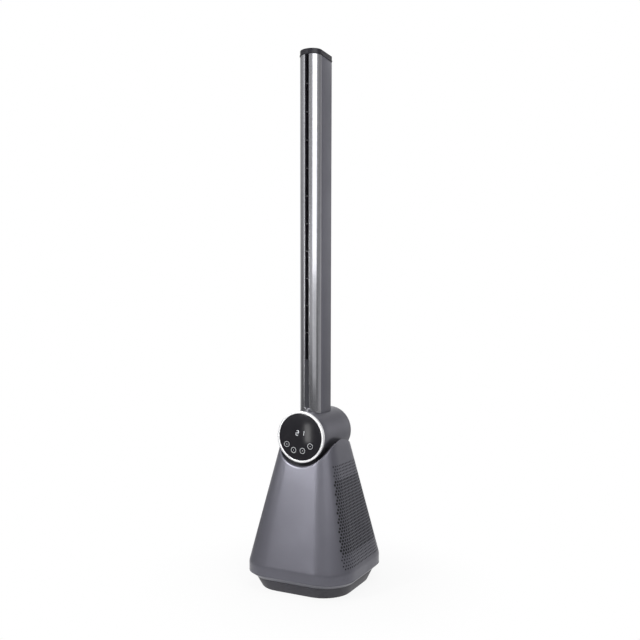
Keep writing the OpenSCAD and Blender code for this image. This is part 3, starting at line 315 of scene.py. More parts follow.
    def modify(self, kind: str, **settings: object) -> None:
        """Adds a modifier and applies it.

        Args:
            kind: The modifier's type.
            settings: Its values.
        """
        self.hold()
        step = self.obj.modifiers.new(kind.lower(), kind)
        for key, value in settings.items():
            setattr(step, key, value)
        bpy.ops.object.modifier_apply(modifier=step.name)

    def thicken(self, wall: float) -> None:
        """Gives a sheet its wall, on the inner side."""
        self.modify("SOLIDIFY", thickness=wall, offset=-1.0, use_rim=True)

    def face_outwards(self, axis: int, sign: int) -> None:
        """Turns a sheet over if its furthest face on one side looks inwards.

        Args:
            axis: The axis of that side.
            sign: 1 for its high end, -1 for its low end.
        """
        face = max(self.obj.data.polygons, key=lambda f: f.center[axis] * sign)
        if face.normal[axis] * sign < 0:
            self.obj.data.flip_normals()

    def soften(self, width: float, steps: int = 2, angle: float = 50.0) -> None:
        """Rounds every edge that is sharper than an angle in degrees."""
        self.modify(
            "BEVEL", width=width, segments=steps, limit_method="ANGLE",
            angle_limit=math.radians(angle), use_clamp_overlap=True, harden_normals=False,
        )

    def cut(self, *tools: Workpiece) -> None:
        """Takes the volume of other pieces away, and deletes them."""
        for tool in tools:
            self.modify("BOOLEAN", operation="DIFFERENCE", solver="EXACT", object=tool.obj)
            mesh = tool.obj.data
            bpy.data.objects.remove(tool.obj)
            bpy.data.meshes.remove(mesh)

    def tidy(self, doubles: float = 1e-6) -> None:
        """Merges doubles and turns the faces outwards."""
        with self.editing():
            bpy.ops.mesh.select_all(action="SELECT")
            bpy.ops.mesh.remove_doubles(threshold=doubles)
            bpy.ops.mesh.normals_make_consistent(inside=False)

    def shade(self, angle: float) -> bpy.types.Object:
        """Shades smooth below an angle in degrees, and hands over the object."""
        self.hold()
        bpy.ops.object.shade_smooth_by_angle(angle=math.radians(angle))
        return self.obj

    def join(self, *others: Workpiece) -> None:
        """Takes other pieces into this one."""
        self.hold()
        for other in others:
            other.obj.select_set(True)
        bpy.ops.object.join()


def deliver(
    piece: bpy.types.Object,
    body: str,
    slot: Slot,
    *nodes: str,
    material: bpy.types.Material | None = None,
) -> None:
    """Puts a piece on its body, dresses it and hides the nodes that it replaces.

    Args:
        piece: The finished piece.
        body: The body that it rides on.
        slot: The material slot that it takes its finish from.
        nodes: The nodes that it replaces.
        material: Its own material, where the slot's doesn't fit.
    """
    piece.data.materials.clear()
    piece.data.materials.append(Finishes.of(slot) if material is None else material)
    if nodes:
        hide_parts(*nodes)
    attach(piece, body)
    LOG.info("%s on %s: %d faces", piece.name, body, len(piece.data.polygons))


class NodeTree:
    """A shader node tree that is filled by short calls."""

    def __init__(self, tree: bpy.types.NodeTree) -> None:
        """Takes a tree and empties it."""
        self.tree = tree
        self.tree.nodes.clear()

    def add(
        self, kind: str, values: dict[str | int, object] | None = None, **settings: object
    ) -> bpy.types.Node:
        """Adds a node.

        Args:
            kind: The node's type.
            values: Inputs by name or index, each a value or the socket that feeds it.
            settings: The node's own properties.

        Returns:
            The new node.
        """
        node = self.tree.nodes.new(kind)
        row, column = divmod(len(self.tree.nodes), 9)
        node.location = (180 * column, -220 * row)
        for key, value in settings.items():
            setattr(node, key, value)
        for key, value in (values or {}).items():
            socket = node.inputs[key]
            if isinstance(value, bpy.types.NodeSocket):
                self.tree.links.new(value, socket)
            elif socket.type == "RGBA":
                socket.default_value = (*value[:3], 1.0)
            else:
                socket.default_value = value
        return node

    def maths(self, operation: str, a: object, b: object = 0.0) -> bpy.types.NodeSocket:
        """Adds a math node and returns its result."""
        return self.add("ShaderNodeMath", {0: a, 1: b}, operation=operation).outputs[0]

    def times(self, a: object, b: object) -> bpy.types.NodeSocket:
        """Multiplies two values."""
        return self.maths("MULTIPLY", a, b)

    def plus(self, a: object, b: object) -> bpy.types.NodeSocket:
        """Adds two values up."""
        return self.maths("ADD", a, b)

    def weigh(
        self, way: bpy.types.Node, x_share: float, y_share: float
    ) -> bpy.types.NodeSocket:
        """Adds up shares of the X and the Y that a separate node gives."""
        return self.plus(self.times(way.outputs[X], x_share), self.times(way.outputs[Y], y_share))

    def ramp(
        self, value: object, low: float, high: float, start: object = 0.0, end: object = 1.0
    ) -> bpy.types.NodeSocket:
        """Maps a value from one range to another with a soft start and end."""
        values = {0: value, 1: low, 2: high, 3: start, 4: end}
        return self.add("ShaderNodeMapRange", values, interpolation_type="SMOOTHSTEP").outputs[0]

    def blend(self, share: object, a: object, b: object) -> bpy.types.NodeSocket:
        """Mixes two colours and returns the result."""
        return self.add("ShaderNodeMix", {0: share, 6: a, 7: b}, data_type="RGBA").outputs[2]

    def place(self) -> bpy.types.NodeSocket:
        """The Object coordinates."""
        return self.add("ShaderNodeTexCoord").outputs["Object"]

    def noise(self, scale: object, detail: float, place: object = None) -> bpy.types.NodeSocket:
        """Noise at a scale, on the Object coordinates or on a given place."""
        spot = self.place() if place is None else place
        values = {"Vector": spot, "Scale": scale, "Detail": detail}
        return self.add("ShaderNodeTexNoise", values).outputs[0]


class Effects:
    """Node groups that more than one finish uses, each made on first use."""

    @staticmethod
    def start(
        name: str, key: str, default: float, *outputs: str
    ) -> tuple[NodeTree, bpy.types.NodeSocket]:
        """Makes an empty group with one input and some outputs, all of them numbers.

        Args:
            name: The group's name.
            key: Its input.
            default: The input's default.
            outputs: Its outputs.

        Returns:
            The tree, and what its input gives.
        """
        tree = bpy.data.node_groups.new(name, "ShaderNodeTree")
        kind = "NodeSocketFloat"
        tree.interface.new_socket(key, in_out="INPUT", socket_type=kind).default_value = default
        for output in outputs:
            tree.interface.new_socket(output, in_out="OUTPUT", socket_type=kind)
        t = NodeTree(tree)
        return t, t.add("NodeGroupInput").outputs[key]

    @staticmethod
    @cache
    def moulded_grain() -> bpy.types.NodeTree:
        """Fine moulded texture over a slow unevenness of the tint.

        Returns:
            The group, with the outputs Height and Tint.
        """
        t, scale = Effects.start("moulded_grain", "Scale", 1500.0, "Height", "Tint")
        fine = t.noise(scale, 2.0)
        mixed = t.plus(t.times(fine, 0.35), t.times(t.noise(22.0, 3.0), 0.65))
        t.add("NodeGroupOutput", {"Height": fine, "Tint": t.ramp(mixed, 0.3, 0.7)})
        return t.tree

    @staticmethod
    @cache
    def edge_wear() -> bpy.types.NodeTree:
        """Edges that are rubbed a little lighter, broken up by noise.

        Returns:
            The group, with the output Mask.
        """
        t, amount = Effects.start("edge_wear", "Amount", 0.3, "Mask")
        edge = t.ramp(t.add("ShaderNodeNewGeometry").outputs["Pointiness"], 0.53, 0.64)
        broken = t.times(edge, t.ramp(t.noise(140.0, 4.0), 0.35, 0.7, 0.3))
        t.add("NodeGroupOutput", {"Mask": t.times(broken, amount)})
        return t.tree

    @staticmethod
    @cache
    def settled_dust() -> bpy.types.NodeTree:
        """A thin film of dust on what faces up.

        Returns:
            The group, with the output Mask.
        """
        t, amount = Effects.start("settled_dust", "Amount", 0.1, "Mask")
        normal = t.add("ShaderNodeNewGeometry").outputs["Normal"]
        up = t.ramp(t.add("ShaderNodeSeparateXYZ", {0: normal}).outputs[Z], 0.55, 1.0)
        film = t.times(up, t.ramp(t.noise(420.0, 5.0), 0.4, 0.7, 0.4))
        t.add("NodeGroupOutput", {"Mask": t.times(film, amount)})
        return t.tree

    @staticmethod
    @cache
    def turned_lines() -> bpy.types.NodeTree:
        """Fine circular tool lines about the drum's axis.

        Returns:
            The group, with the outputs Height and Tint.
        """
        t, scale = Effects.start("turned_lines", "Scale", 1800.0, "Height", "Tint")
        spot = t.add("ShaderNodeSeparateXYZ", {0: t.place()}).outputs
        rise = t.maths("SUBTRACT", spot[Z], AXIS_Z)
        square = t.plus(t.times(spot[X], spot[X]), t.times(rise, rise))
        out = t.plus(t.maths("SQRT", square), spot[Y])
        line = t.add("ShaderNodeCombineXYZ", {0: t.times(out, scale)}).outputs[0]
        rings = t.noise(1.0, 3.0, line)
        t.add("NodeGroupOutput", {"Height": rings, "Tint": t.ramp(rings, 0.3, 0.7)})
        return t.tree


class Grain(Enum):
    """How a finish is textured."""

    MOULDED = "moulded"
    TURNED = "turned"


@dataclass(frozen=True)
class Finish:
    """One surface finish, with linear colours."""

    colour: Colour
    shade: Colour
    roughness: float
    spread: float = 0.04
    metallic: float = 0.0
    scale: float = 1500.0
    depth: float = 0.00003
    wear: float = 0.15
    dust: float = 0.04
    specular: float = 0.5
    glow: float = 0.0
    grain: Grain = Grain.MOULDED
    dust_colour: Colour = (0.42, 0.41, 0.39)

    def material(self, name: str) -> bpy.types.Material:
        """Builds the material.

        Args:
            name: The material's name.

        Returns:
            The material, with its texture on Object coordinates.
        """
        made = bpy.data.materials.new(name)
        made.use_nodes = True
        t = NodeTree(made.node_tree)
        group = Effects.turned_lines if self.grain is Grain.TURNED else Effects.moulded_grain
        texture = t.add("ShaderNodeGroup", node_tree=group())
        texture.inputs["Scale"].default_value = self.scale
        wear = t.add("ShaderNodeGroup", node_tree=Effects.edge_wear())
        wear.inputs["Amount"].default_value = self.wear
        dust = t.add("ShaderNodeGroup", node_tree=Effects.settled_dust())
        dust.inputs["Amount"].default_value = self.dust
        tint = texture.outputs["Tint"]
        rubbed: Colour = tuple(min(1.0, c * 1.7 + 0.03) for c in self.colour)
        base = t.blend(tint, self.colour, self.shade)
        base = t.blend(wear.outputs["Mask"], base, rubbed)
        base = t.blend(dust.outputs["Mask"], base, self.dust_colour)
        rough = t.ramp(tint, 0.0, 1.0, self.roughness - self.spread, self.roughness + self.spread)
        rough = t.plus(rough, t.times(dust.outputs["Mask"], 0.8))
        relief = {"Strength": 0.6, "Distance": self.depth, "Height": texture.outputs["Height"]}
        surface = t.add(
            "ShaderNodeBsdfPrincipled",
            {
                "Base Color": base,
                "Roughness": rough,
                "Metallic": self.metallic,
                "Specular IOR Level": self.specular,
                "Normal": t.add("ShaderNodeBump", relief).outputs[0],
            },
        )
        if self.glow:
            surface.inputs["Emission Color"].default_value = (*self.colour, 1.0)
            surface.inputs["Emission Strength"].default_value = self.glow
        t.add("ShaderNodeOutputMaterial", {0: surface.outputs[0]})
        return made


class Finishes:
    """The finish of each material slot, and the material made from it."""

    table: dict[Slot, Finish] = {
        Slot.BODY: Finish((0.143, 0.142, 0.168), (0.133, 0.132, 0.157), 0.34, metallic=0.65),
        Slot.FOOT: Finish((0.036, 0.034, 0.044), (0.031, 0.029, 0.038), 0.5, scale=1100.0),
        Slot.FRONT: Finish(
            (0.33, 0.33, 0.35), (0.30, 0.30, 0.32), 0.2, 0.02,
            metallic=0.95, scale=2600.0, depth=0.000006, wear=0.1,
        ),
        Slot.CAP: Finish((0.016, 0.015, 0.020), (0.012, 0.011, 0.015), 0.36, specular=0.22),
        Slot.DUCT: Finish((0.055, 0.055, 0.06), (0.048, 0.048, 0.053), 0.55),
        Slot.BEARING: Finish((0.68, 0.68, 0.64), (0.62, 0.62, 0.58), 0.4),
        Slot.BLACK: Finish((0.01, 0.01, 0.011), (0.014, 0.014, 0.015), 0.45),
        Slot.GLASS: Finish(
            (0.0135, 0.013, 0.016), (0.0175, 0.017, 0.020), 0.12, 0.02,
            scale=60.0, depth=0.000001, specular=0.25, dust=0.0,
        ),
        Slot.SILVER: Finish(
            (0.94, 0.94, 0.95), (0.86, 0.86, 0.88), 0.28, 0.05,
            metallic=0.6, depth=0.00001, grain=Grain.TURNED,
        ),
        Slot.STEEL: Finish(
            (0.50, 0.51, 0.53), (0.42, 0.43, 0.45), 0.32, metallic=1.0, scale=900.0
        ),
        Slot.COPPER: Finish((0.48, 0.20, 0.09), (0.36, 0.14, 0.06), 0.4, metallic=0.9),
        Slot.MAGNET: Finish((0.05, 0.05, 0.055), (0.07, 0.07, 0.075), 0.45, metallic=0.8),
        Slot.BOARD: Finish((0.02, 0.13, 0.055), (0.03, 0.16, 0.07), 0.35),
        Slot.RUBBER: Finish((0.012, 0.012, 0.013), (0.018, 0.018, 0.019), 0.7, scale=700.0),
    }

    @classmethod
    @cache
    def of(cls, slot: Slot) -> bpy.types.Material:
        """The material of a slot, made on first use."""
        return cls.table[slot].material(f"finish_{slot.value}")

    @classmethod
    def dress_nodes(cls, frame: dict[str, object]) -> None:
        """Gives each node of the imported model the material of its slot.
        """
        for part in frame["record"]["subparts"]:
            node = frame["nodes"][part["node"]]
            material = cls.of(Slot(part["material_slot"]))
            if not node.material_slots:
                node.data.materials.append(material)
            for place in node.material_slots:
                place.material = material


@dataclass
class Housing:
    """The pyramid that turns on the foot, with its perforated sides and its saddle.

    A place on its outline is counted at half width 1, from the middle of the right side.
    """

    half_w: float = 0.1089
    lean: float = 0.23
    crease_z: float = 0.0502
    crease_soft: float = 0.0022
    corner_reach: float = 0.8503
    corner_ease: float = 0.75
    corner_steps: int = 480
    skin: float = 0.0006
    # Sizes of the black sheets that sit behind the holes to paint shade there.
    shade_sheet_gap: float = 0.0030
    shade_sheet_wall: float = 0.0008
    shade_sheet_spare: float = 0.001
    shade_sheet_rows: int = 12
    shade_sheet_steps: int = 20
    saddle_r: float = 0.0551
    rim_ease: float = 0.12
    rim_sink: float = 0.0008
    rim_drop: float = 0.0047
    rim_end: float = 1.25
    rim_fade: float = 0.65
    lip_least: float = 0.0009
    lip_growth: float = 0.0026
    lip_probe: float = 0.002
    lip_steps: int = 4
    first_line: float = 0.0568
    row: float = 0.00545
    rows: int = 34
    pitch: float = 0.0064
    hole_r: float = 0.00242
    small_rows: int = 5
    small_r: float = 0.0016
    edge_spare: float = 0.0006
    side_limit: float = 0.825
    grille_limit: float = 0.7838
    neck_half_w: float = 0.0178
    neck_half_l: float = 0.0313
    low_lines: tuple[float, ...] = (
        0.0328, 0.040, 0.0455, 0.0479, 0.0490, 0.0500, 0.0511, 0.0524, 0.0545
    )
    flat_lines: tuple[float, ...] = (0.06, 0.12, 0.18, 0.30, 0.34)
    arc_steps: int = 18
    plain_lines: int = 30
    top_steps: int = 5
    points: list[Corner] = field(default_factory=list)
    faces: list[list[int]] = field(default_factory=list)
    rims: dict[float, list[int]] = field(default_factory=dict)
    flat: float = field(init=False)
    bend: float = field(init=False)
    corner: list[tuple[float, float]] = field(init=False)

    def __post_init__(self) -> None:
        """Works out the corner, which bends gently at its two ends and most in its middle."""
        n = self.corner_steps
        x = y = 0.0
        steps = [(0.0, 0.0)]
        for i in range(n):
            u = (i + 0.5) / n
            heading = math.pi / 2 * (u + self.corner_ease * (u * u * (3 - 2 * u) - u))
            x -= math.sin(heading) / n
            y += math.cos(heading) / n
            steps.append((x, y))
        side = (1 - self.corner_reach) * y / -steps[n // 2][0]
        self.flat = 1 - side
        self.bend = side / y
        self.corner = [(1 + px * self.bend, self.flat + py * self.bend) for px, py in steps]

    @property
    def period(self) -> float:
        """Length of the outline from the middle of one side to the middle of the next."""
        return 2 * self.flat + self.bend

    def width(self, z: float) -> float:
        """Half width at a height, with the crease above the band rounded off."""
        low, high = self.crease_z - self.crease_soft, self.crease_z + self.crease_soft
        if z <= low:
            return self.half_w
        if z >= high:
            return self.half_w - self.lean * (z - self.crease_z)
        return self.half_w - self.lean * (z - low) ** 2 / (4 * self.crease_soft)

    def outline(self, v: float) -> tuple[float, float]:
        """Point of the outline at half width 1."""
        side = math.floor(v / self.period + 0.5)
        s = v - side * self.period
        if abs(s) <= self.flat:
            x, y = 1.0, s
        else:
            place = (abs(s) - self.flat) / self.bend * self.corner_steps
            i = min(int(place), self.corner_steps - 1)
            (x0, y0), (x1, y1) = self.corner[i], self.corner[i + 1]
            x = x0 + (x1 - x0) * (place - i)
            y = math.copysign(y0 + (y1 - y0) * (place - i), s)
        for _ in range(side % 4):
            x, y = -y, x
        return x, y

    def point(self, v: float, z: float) -> Vector:
        """Point of the outer surface."""
        x, y = self.outline(v)
        w = self.width(z)
        return Vector((x * w, y * w, z))

    def vertex(self, place: Sequence[float]) -> int:
        """Adds a vertex and returns its index."""
        self.points.append(tuple(place))
        return len(self.points) - 1

    def meeting_height(self, v: float) -> float:
        """Height at which the wall's plane meets the saddle's cylinder."""
        ux = self.outline(v)[0]
        a = self.half_w + self.lean * self.crease_z
        qa = ux * ux * self.lean**2 + 1
        qb = -2 * (ux * ux * a * self.lean + AXIS_Z)
        qc = ux * ux * a * a + AXIS_Z**2 - self.saddle_r**2
        return (-qb - math.sqrt(qb * qb - 4 * qa * qc)) / (2 * qa)

    def saddle_height(self, v: float) -> float:
        """Height of the saddle's rim, eased along it and lowered beside the drum."""
        shifts = [self.rim_ease * n / 3 for n in range(-3, 4)]
        place = abs((v / self.period + 1) % 2 - 1) * self.period
        drop = self.rim_sink + self.rim_drop * min(1.0, place / self.flat) ** 2
        drop *= max(0.0, min(1.0, (self.rim_end - place) / self.rim_fade))
        return sum(self.meeting_height(v + shift) for shift in shifts) / len(shifts) - drop

    def lip(self, v: float) -> list[Vector]:
        """Points over the rounded lip of the saddle, from the wall to the trough.

        Args:
            v: Place on the outline.

        Returns:
            The points of a curve from one to the other.
        """
        rim, probe = self.saddle_height, self.lip_probe
        z0 = rim(v)
        edge = self.point(v, z0)
        reach = self.lip_least + self.lip_growth * min(1.0, (AXIS_Z - z0) / self.saddle_r)
        low = self.point(v, z0 - reach)
        along = self.point(v + probe, rim(v + probe)) - self.point(v - probe, rim(v - probe))
        radial = Vector((edge.x, 0.0, edge.z - AXIS_Z)).normalized()
        inward = radial.cross(along).normalized()
        x, y = self.outline(v)
        if inward.x * x + inward.y * y > 0:
            inward.negate()
        end = edge + inward * reach
        spoke = Vector((end.x, 0.0, end.z - AXIS_Z)).normalized() * self.saddle_r
        end = Vector((spoke.x, end.y, AXIS_Z + spoke.z))
        shares = [i / self.lip_steps for i in range(self.lip_steps + 1)]
        return [low * (1 - t) ** 2 + edge * (2 * t * (1 - t)) + end * t * t for t in shares]

    def climb(self, v: float, start_z: float, steps: int) -> list[int]:
        """Adds the vertices from a height up over the lip.

        Args:
            v: Place on the outline.
            start_z: Height of the vertex below the first new one.
            steps: How many steps lead up to the lip.

        Returns:
            Their indices, of which the last lies in the trough.
        """
        lip = self.lip(v)
        rise = lip[0].z - start_z
        column = [self.vertex(self.point(v, start_z + rise * i / steps)) for i in range(1, steps)]
        return column + [self.vertex(p) for p in lip]

    def bridge(self, columns: Sequence[list[int]]) -> None:
        """Joins upright rows of vertices, each to the next, by faces that look outwards."""
        for left, right in zip(columns, columns[1:]):
            for k in range(len(left) - 1):
                self.faces.append([left[k], right[k], right[k + 1], left[k + 1]])

    def line_z(self, k: int) -> float:
        """Height of the line under row k."""
        return self.first_line + k * self.row

    def perforated_side(self, v0: float) -> list[int]:
        """Builds a side with its rows of holes.

        Args:
            v0: Middle of the side on the outline.

        Returns:
            The trough vertices, in the order of the outline.
        """
        half = self.pitch / 2
        lines: list[dict[float, int]] = []
        reach: list[int] = []
        for k in range(self.rows + 1):
            z = self.line_z(k)
            w = self.width(z)
            limit = self.side_limit * w
            most = math.floor((limit - self.edge_spare) / half)
            reach.append(most)
            line = {
                m * half: self.vertex(self.point(v0 + m * half / w, z))
                for m in range(-most, most + 1)
            }
            for s in (-1, 1):
                line[s * limit] = self.vertex(self.point(v0 + s * self.side_limit, z))
            lines.append(line)
        for k in range(self.rows):
            self.hole_row(v0, k, lines[k], lines[k + 1], min(reach[k], reach[k + 1]))
        low_w, top_z = self.width(self.line_z(0)), self.line_z(self.rows)
        feet = [
            [self.vertex(self.point(v0 + s / low_w, z)) for z in self.low_lines] + [lines[0][s]]
            for s in sorted(lines[0])
        ]
        tops = [
            [lines[-1][s]] + self.climb(v0 + s / self.width(top_z), top_z, self.top_steps)
            for s in sorted(lines[-1])
        ]
        self.bridge(feet)
        self.bridge(tops)
        for s, foot, top in ((-1, feet[0], tops[0]), (1, feet[-1], tops[-1])):
            middle = [
                line[s * self.side_limit * self.width(self.line_z(k))]
                for k, line in enumerate(lines)
            ]
            self.rims[round(v0 + s * self.side_limit, 6)] = foot[:-1] + middle + top[1:]
        return [column[-1] for column in tops]

    def hole_row(
        self, v0: float, k: int, below: dict[float, int], above: dict[float, int], reach: int
    ) -> None:
        """Fills the band between two lines with cells around its holes.

        Args:
            v0: Middle of the side on the outline.
            k: The row.
            below: Vertices of the line under the row, by their place.
            above: Vertices of the line over the row, by their place.
            reach: The last multiple of half a pitch that both lines have.
        """
        half = self.pitch / 2
        field_w = self.grille_limit * self.width(self.line_z(k)) - self.hole_r / 2
        count = (min(reach - 1, math.floor(field_w / half)) - k % 2) // 2
        middles = range(-2 * count - (k % 2), 2 * count + (k % 2) + 1, 2)
        small = k < self.small_rows or k >= self.rows - self.small_rows
        radius = self.small_r if small else self.hole_r
        z_mid = self.line_z(k) + self.row / 2
        spans = ((0, 1), (1, 2), (2, 6), (6, 7), (7, 8), (8, 12))
        for m in middles:
            outer = [below[(m + i) * half] for i in (-1, 0, 1)]
            outer += [above[(m + i) * half] for i in (1, 0, -1)]
            ring = []
            for i in range(12):
                a = math.radians(30 * i - 120)
                z = z_mid + radius * math.sin(a)
                v = v0 + (m * half + radius * math.cos(a)) / self.width(z)
                ring.append(self.vertex(self.point(v, z)))
            for j, (start, end) in enumerate(spans):
                arc = [ring[i % 12] for i in range(end, start - 1, -1)]
                self.faces.append([outer[j], outer[(j + 1) % 6], *arc])
        last = (middles[-1] + 1) * half - 1e-9
        for s in (-1, 1):
            low = sorted(q * s for q in below if q * s >= last)
            high = sorted((q * s for q in above if q * s >= last), reverse=True)
            loop = [below[q * s] for q in low] + [above[q * s] for q in high]
            self.faces.append(loop if s > 0 else loop[::-1])

    def plain_side(self, v0: float, start: float, end: float) -> list[int]:
        """Builds the front or the back between two perforated sides.

        Args:
            v0: Middle of the side on the outline.
            start: Place of the rim vertices where it begins.
            end: Place of the rim vertices where it ends.

        Returns:
            The trough vertices, in the order of the outline.
        """
        neck_z = AXIS_Z - math.sqrt(self.saddle_r**2 - self.neck_half_w**2)
        span = self.period - self.side_limit - self.flat
        places = [*self.flat_lines, self.neck_half_w / self.width(neck_z), self.flat]
        places += [self.flat + span * i / self.arc_steps for i in range(1, self.arc_steps)]
        offsets = sorted([0.0] + [s * q for q in places for s in (-1, 1)])
        heights = [*self.low_lines, *(self.line_z(k) for k in range(self.plain_lines + 1))]
        steps = self.rows - self.plain_lines + self.top_steps
        columns = [self.rims[round(start, 6)]]
        for v in (v0 + q for q in offsets):
            column = [self.vertex(self.point(v, z)) for z in heights]
            columns.append(column + self.climb(v, heights[-1], steps))
        columns.append(self.rims[round(end, 6)])
        self.bridge(columns)
        return [column[-1] for column in columns]

    def trough(self, loop: list[int]) -> None:
        """Fills the saddle between the two halves of its rim, round the opening for the neck.

        Args:
            loop: Trough vertices all the way round, from the middle of the right side.
        """

        def key(i: int, sign: int) -> Corner:
            """Place of a vertex, or of its mirror image across the drum."""
            x, y, z = self.points[i]
            return round(x, 5), round(y * sign, 5), round(z, 5)

        by_place = {key(i, 1): i for i in loop}
        front = [i for i in loop if self.points[i][Y] <= 1e-7]
        front.sort(key=lambda i: self.points[i][X])
        pairs = [(i, by_place[key(i, -1)]) for i in front]
        edges: dict[int, tuple[int, int]] = {}
        for (a, a2), (b, b2) in zip(pairs, pairs[1:]):
            if max(abs(self.points[i][X]) for i in (a, b)) < self.neck_half_w + 2e-4:
                for i in (a, b):
                    if i not in edges:
                        x, _, z = self.points[i]
                        edges[i] = tuple(self.vertex((x, s * self.neck_half_l, z)) for s in (-1, 1))
                self.faces.append([a, b, edges[b][0], edges[a][0]])
                self.faces.append([edges[a][1], edges[b][1], b2, a2])
                continue
            face = [a, b, b2, a2]
            self.faces.append([i for n, i in enumerate(face) if i != face[n - 1]])

    def shade_sheets(self) -> None:
        """Makes two black sheets inside the perforated sides, which paint shade behind the holes.
        """
        points: list[Corner] = []
        faces: list[tuple[int, ...]] = []
        rows, steps = self.shade_sheet_rows, self.shade_sheet_steps
        low = self.first_line - self.shade_sheet_spare
        high = self.line_z(self.rows) + self.shade_sheet_spare
        for v0 in (0.0, 2 * self.period):
            start = len(points)
            for i in range(rows + 1):
                z = low + (high - low) * i / rows
                w = self.width(z) - self.shade_sheet_gap
                for j in range(steps + 1):
                    x, y = self.outline(v0 + self.side_limit * (2 * j / steps - 1))
                    points.append((x * w, y * w, z))
            corners = [start + i * (steps + 1) + j for i in range(rows) for j in range(steps)]
            faces += [(a, a + 1, a + steps + 2, a + steps + 1) for a in corners]
        # Black sheets behind the holes: painted shade seen through the grille.
        work = Workpiece.from_points("filter_sheets", points, faces)
        work.face_outwards(X, 1)
        work.thicken(self.shade_sheet_wall)
        deliver(work.shade(34.0), "body", Slot.BLACK)

    def build(self) -> None:
        """Makes the black sheets that paint shade behind the holes, and the piece that stands for
        the shell, grilles and saddle.
        """
        self.shade_sheets()
        p, u = self.period, self.side_limit
        right = self.perforated_side(0.0)
        left = self.perforated_side(2 * p)
        self.rims[round(4 * p - u, 6)] = self.rims[round(-u, 6)]
        back = self.plain_side(p, u, 2 * p - u)
        front = self.plain_side(3 * p, 2 * p + u, 4 * p - u)
        middle = len(right) // 2
        self.trough(right[middle:] + back[1:] + left[1:] + front[1:] + right[1:middle])
        work = Workpiece.from_points("body_housing", self.points, self.faces)
        with work.editing():
            bpy.ops.mesh.select_all(action="SELECT")
            bpy.ops.mesh.normals_make_consistent(inside=False)
        work.face_outwards(Y, -1)
        work.thicken(self.skin)
        nodes = ("base_shell", "grille_right", "grille_left", "saddle_cradle")
        deliver(work.shade(34.0), "body", Slot.BODY, *nodes)


@dataclass
class Undercarriage:
    """The undercut band of the body, and the dark foot that it turns on."""

    half_w: float = 0.1089
    corner_r: float = 0.0556
    corner_steps: int = 14
    band_z: float = 0.0320
    band_h: float = 0.0006
    tray_z: float = 0.0229
    undercut: float = 0.0090
    ledge: float = 0.0016
    upstand: float = 0.016
    foot_half: float = 0.0993
    foot_top: float = 0.0223
    foot_low: float = 0.0012
    foot_taper: float = 0.0084
    wall: float = 0.0024
    hub_r: float = 0.011
    jack_z: float = 0.0124
    jack_r: float = 0.0043
    pad_spot: float = 0.066
    pad_r: float = 0.0093
    pad_sink: float = 0.00245

    def rounded_block(self, name: str, half: float, low: float, high: float) -> Workpiece:
        """Makes a block with rounded upright edges.

        Args:
            name: The name of the piece.
            half: Its half width.
            low: Height of its underside.
            high: Height of its top.

        Returns:
            The workpiece.
        """
        work = Workpiece.block(name, (-half, -half, low), (half, half, high))
        work.bevel_along(Z, self.corner_r, self.corner_steps)
        return work

    def band(self) -> None:
        """Makes the tray: its floor, the undercut, and the ledge that the housing stands on."""
        z0, z1 = self.tray_z, self.band_z
        outer = self.half_w - self.undercut - 1e-3
        work = self.rounded_block("body_band", self.half_w, z1, z1 + self.band_h)
        with work.editing():
            work.pick(Element.FACE, lambda f: f.normal.z < -0.9)
            work.grow(z0 - z1)
            work.draw_in_corners(lambda p: p.z < z0 + 1e-4, self.undercut)
            work.pick(Element.FACE, lambda f: f.normal.z > 0.9)
            bpy.ops.mesh.inset(thickness=self.ledge, depth=0.0)
            work.grow(self.upstand)
            bpy.ops.mesh.delete(type="FACE")
        work.tidy()
        work.thicken(self.wall)
        with work.editing():
            work.bevel_edges(
                lambda a, b: abs(a.z - b.z) < NEAR
                and min(abs(a.z - z0), abs(a.z - z1)) < NEAR
                and max(abs(a.x), abs(a.y)) > outer,
                0.0008, 3,
            )
        work.cut(Workpiece.rod("hub_hole", self.hub_r, (0, 0, 0.018), (0, 0, 0.03), 64))
        work.tidy()
        deliver(work.shade(30.0), "body", Slot.BODY, "chassis_tray")

    def foot(self) -> None:
        """Makes the tapered pan, with pockets for its pads and a hole for the power socket."""
        low, top = self.foot_low, self.foot_top
        outer = self.foot_half - self.foot_taper - self.wall * 0.5
        work = self.rounded_block("foot_shell", self.foot_half, low, top)
        with work.editing():
            work.draw_in_corners(lambda p: p.z < low + 1e-4, self.foot_taper)
        work.open_up(lambda f: f.normal.z > 0.9)
        work.tidy()
        work.thicken(self.wall)
        with work.editing():
            work.bevel_edges(
                lambda a, b: abs(a.z - b.z) < NEAR
                and (
                    abs(a.z - low) < NEAR and max(abs(a.x), abs(a.y)) > outer
                    or abs(a.z - top) < NEAR
                ),
                0.0009, 4,
            )
        jack = (0, 0.08, self.jack_z), (0, 0.11, self.jack_z)
        work.cut(Workpiece.rod("jack_hole", self.jack_r, *jack, 48))
        spots = [(sx * self.pad_spot, sy * self.pad_spot) for sx in (-1, 1) for sy in (-1, 1)]
        for spot in spots:
            pocket = (*spot, -0.001), (*spot, self.pad_sink)
            work.cut(Workpiece.rod("pad_pocket", self.pad_r, *pocket, 48))
        work.tidy()
        deliver(work.shade(30.0), "foot", Slot.FOOT, "foot_pan")

    def build(self) -> None:
        """Makes both pieces."""
        self.band()
        self.foot()


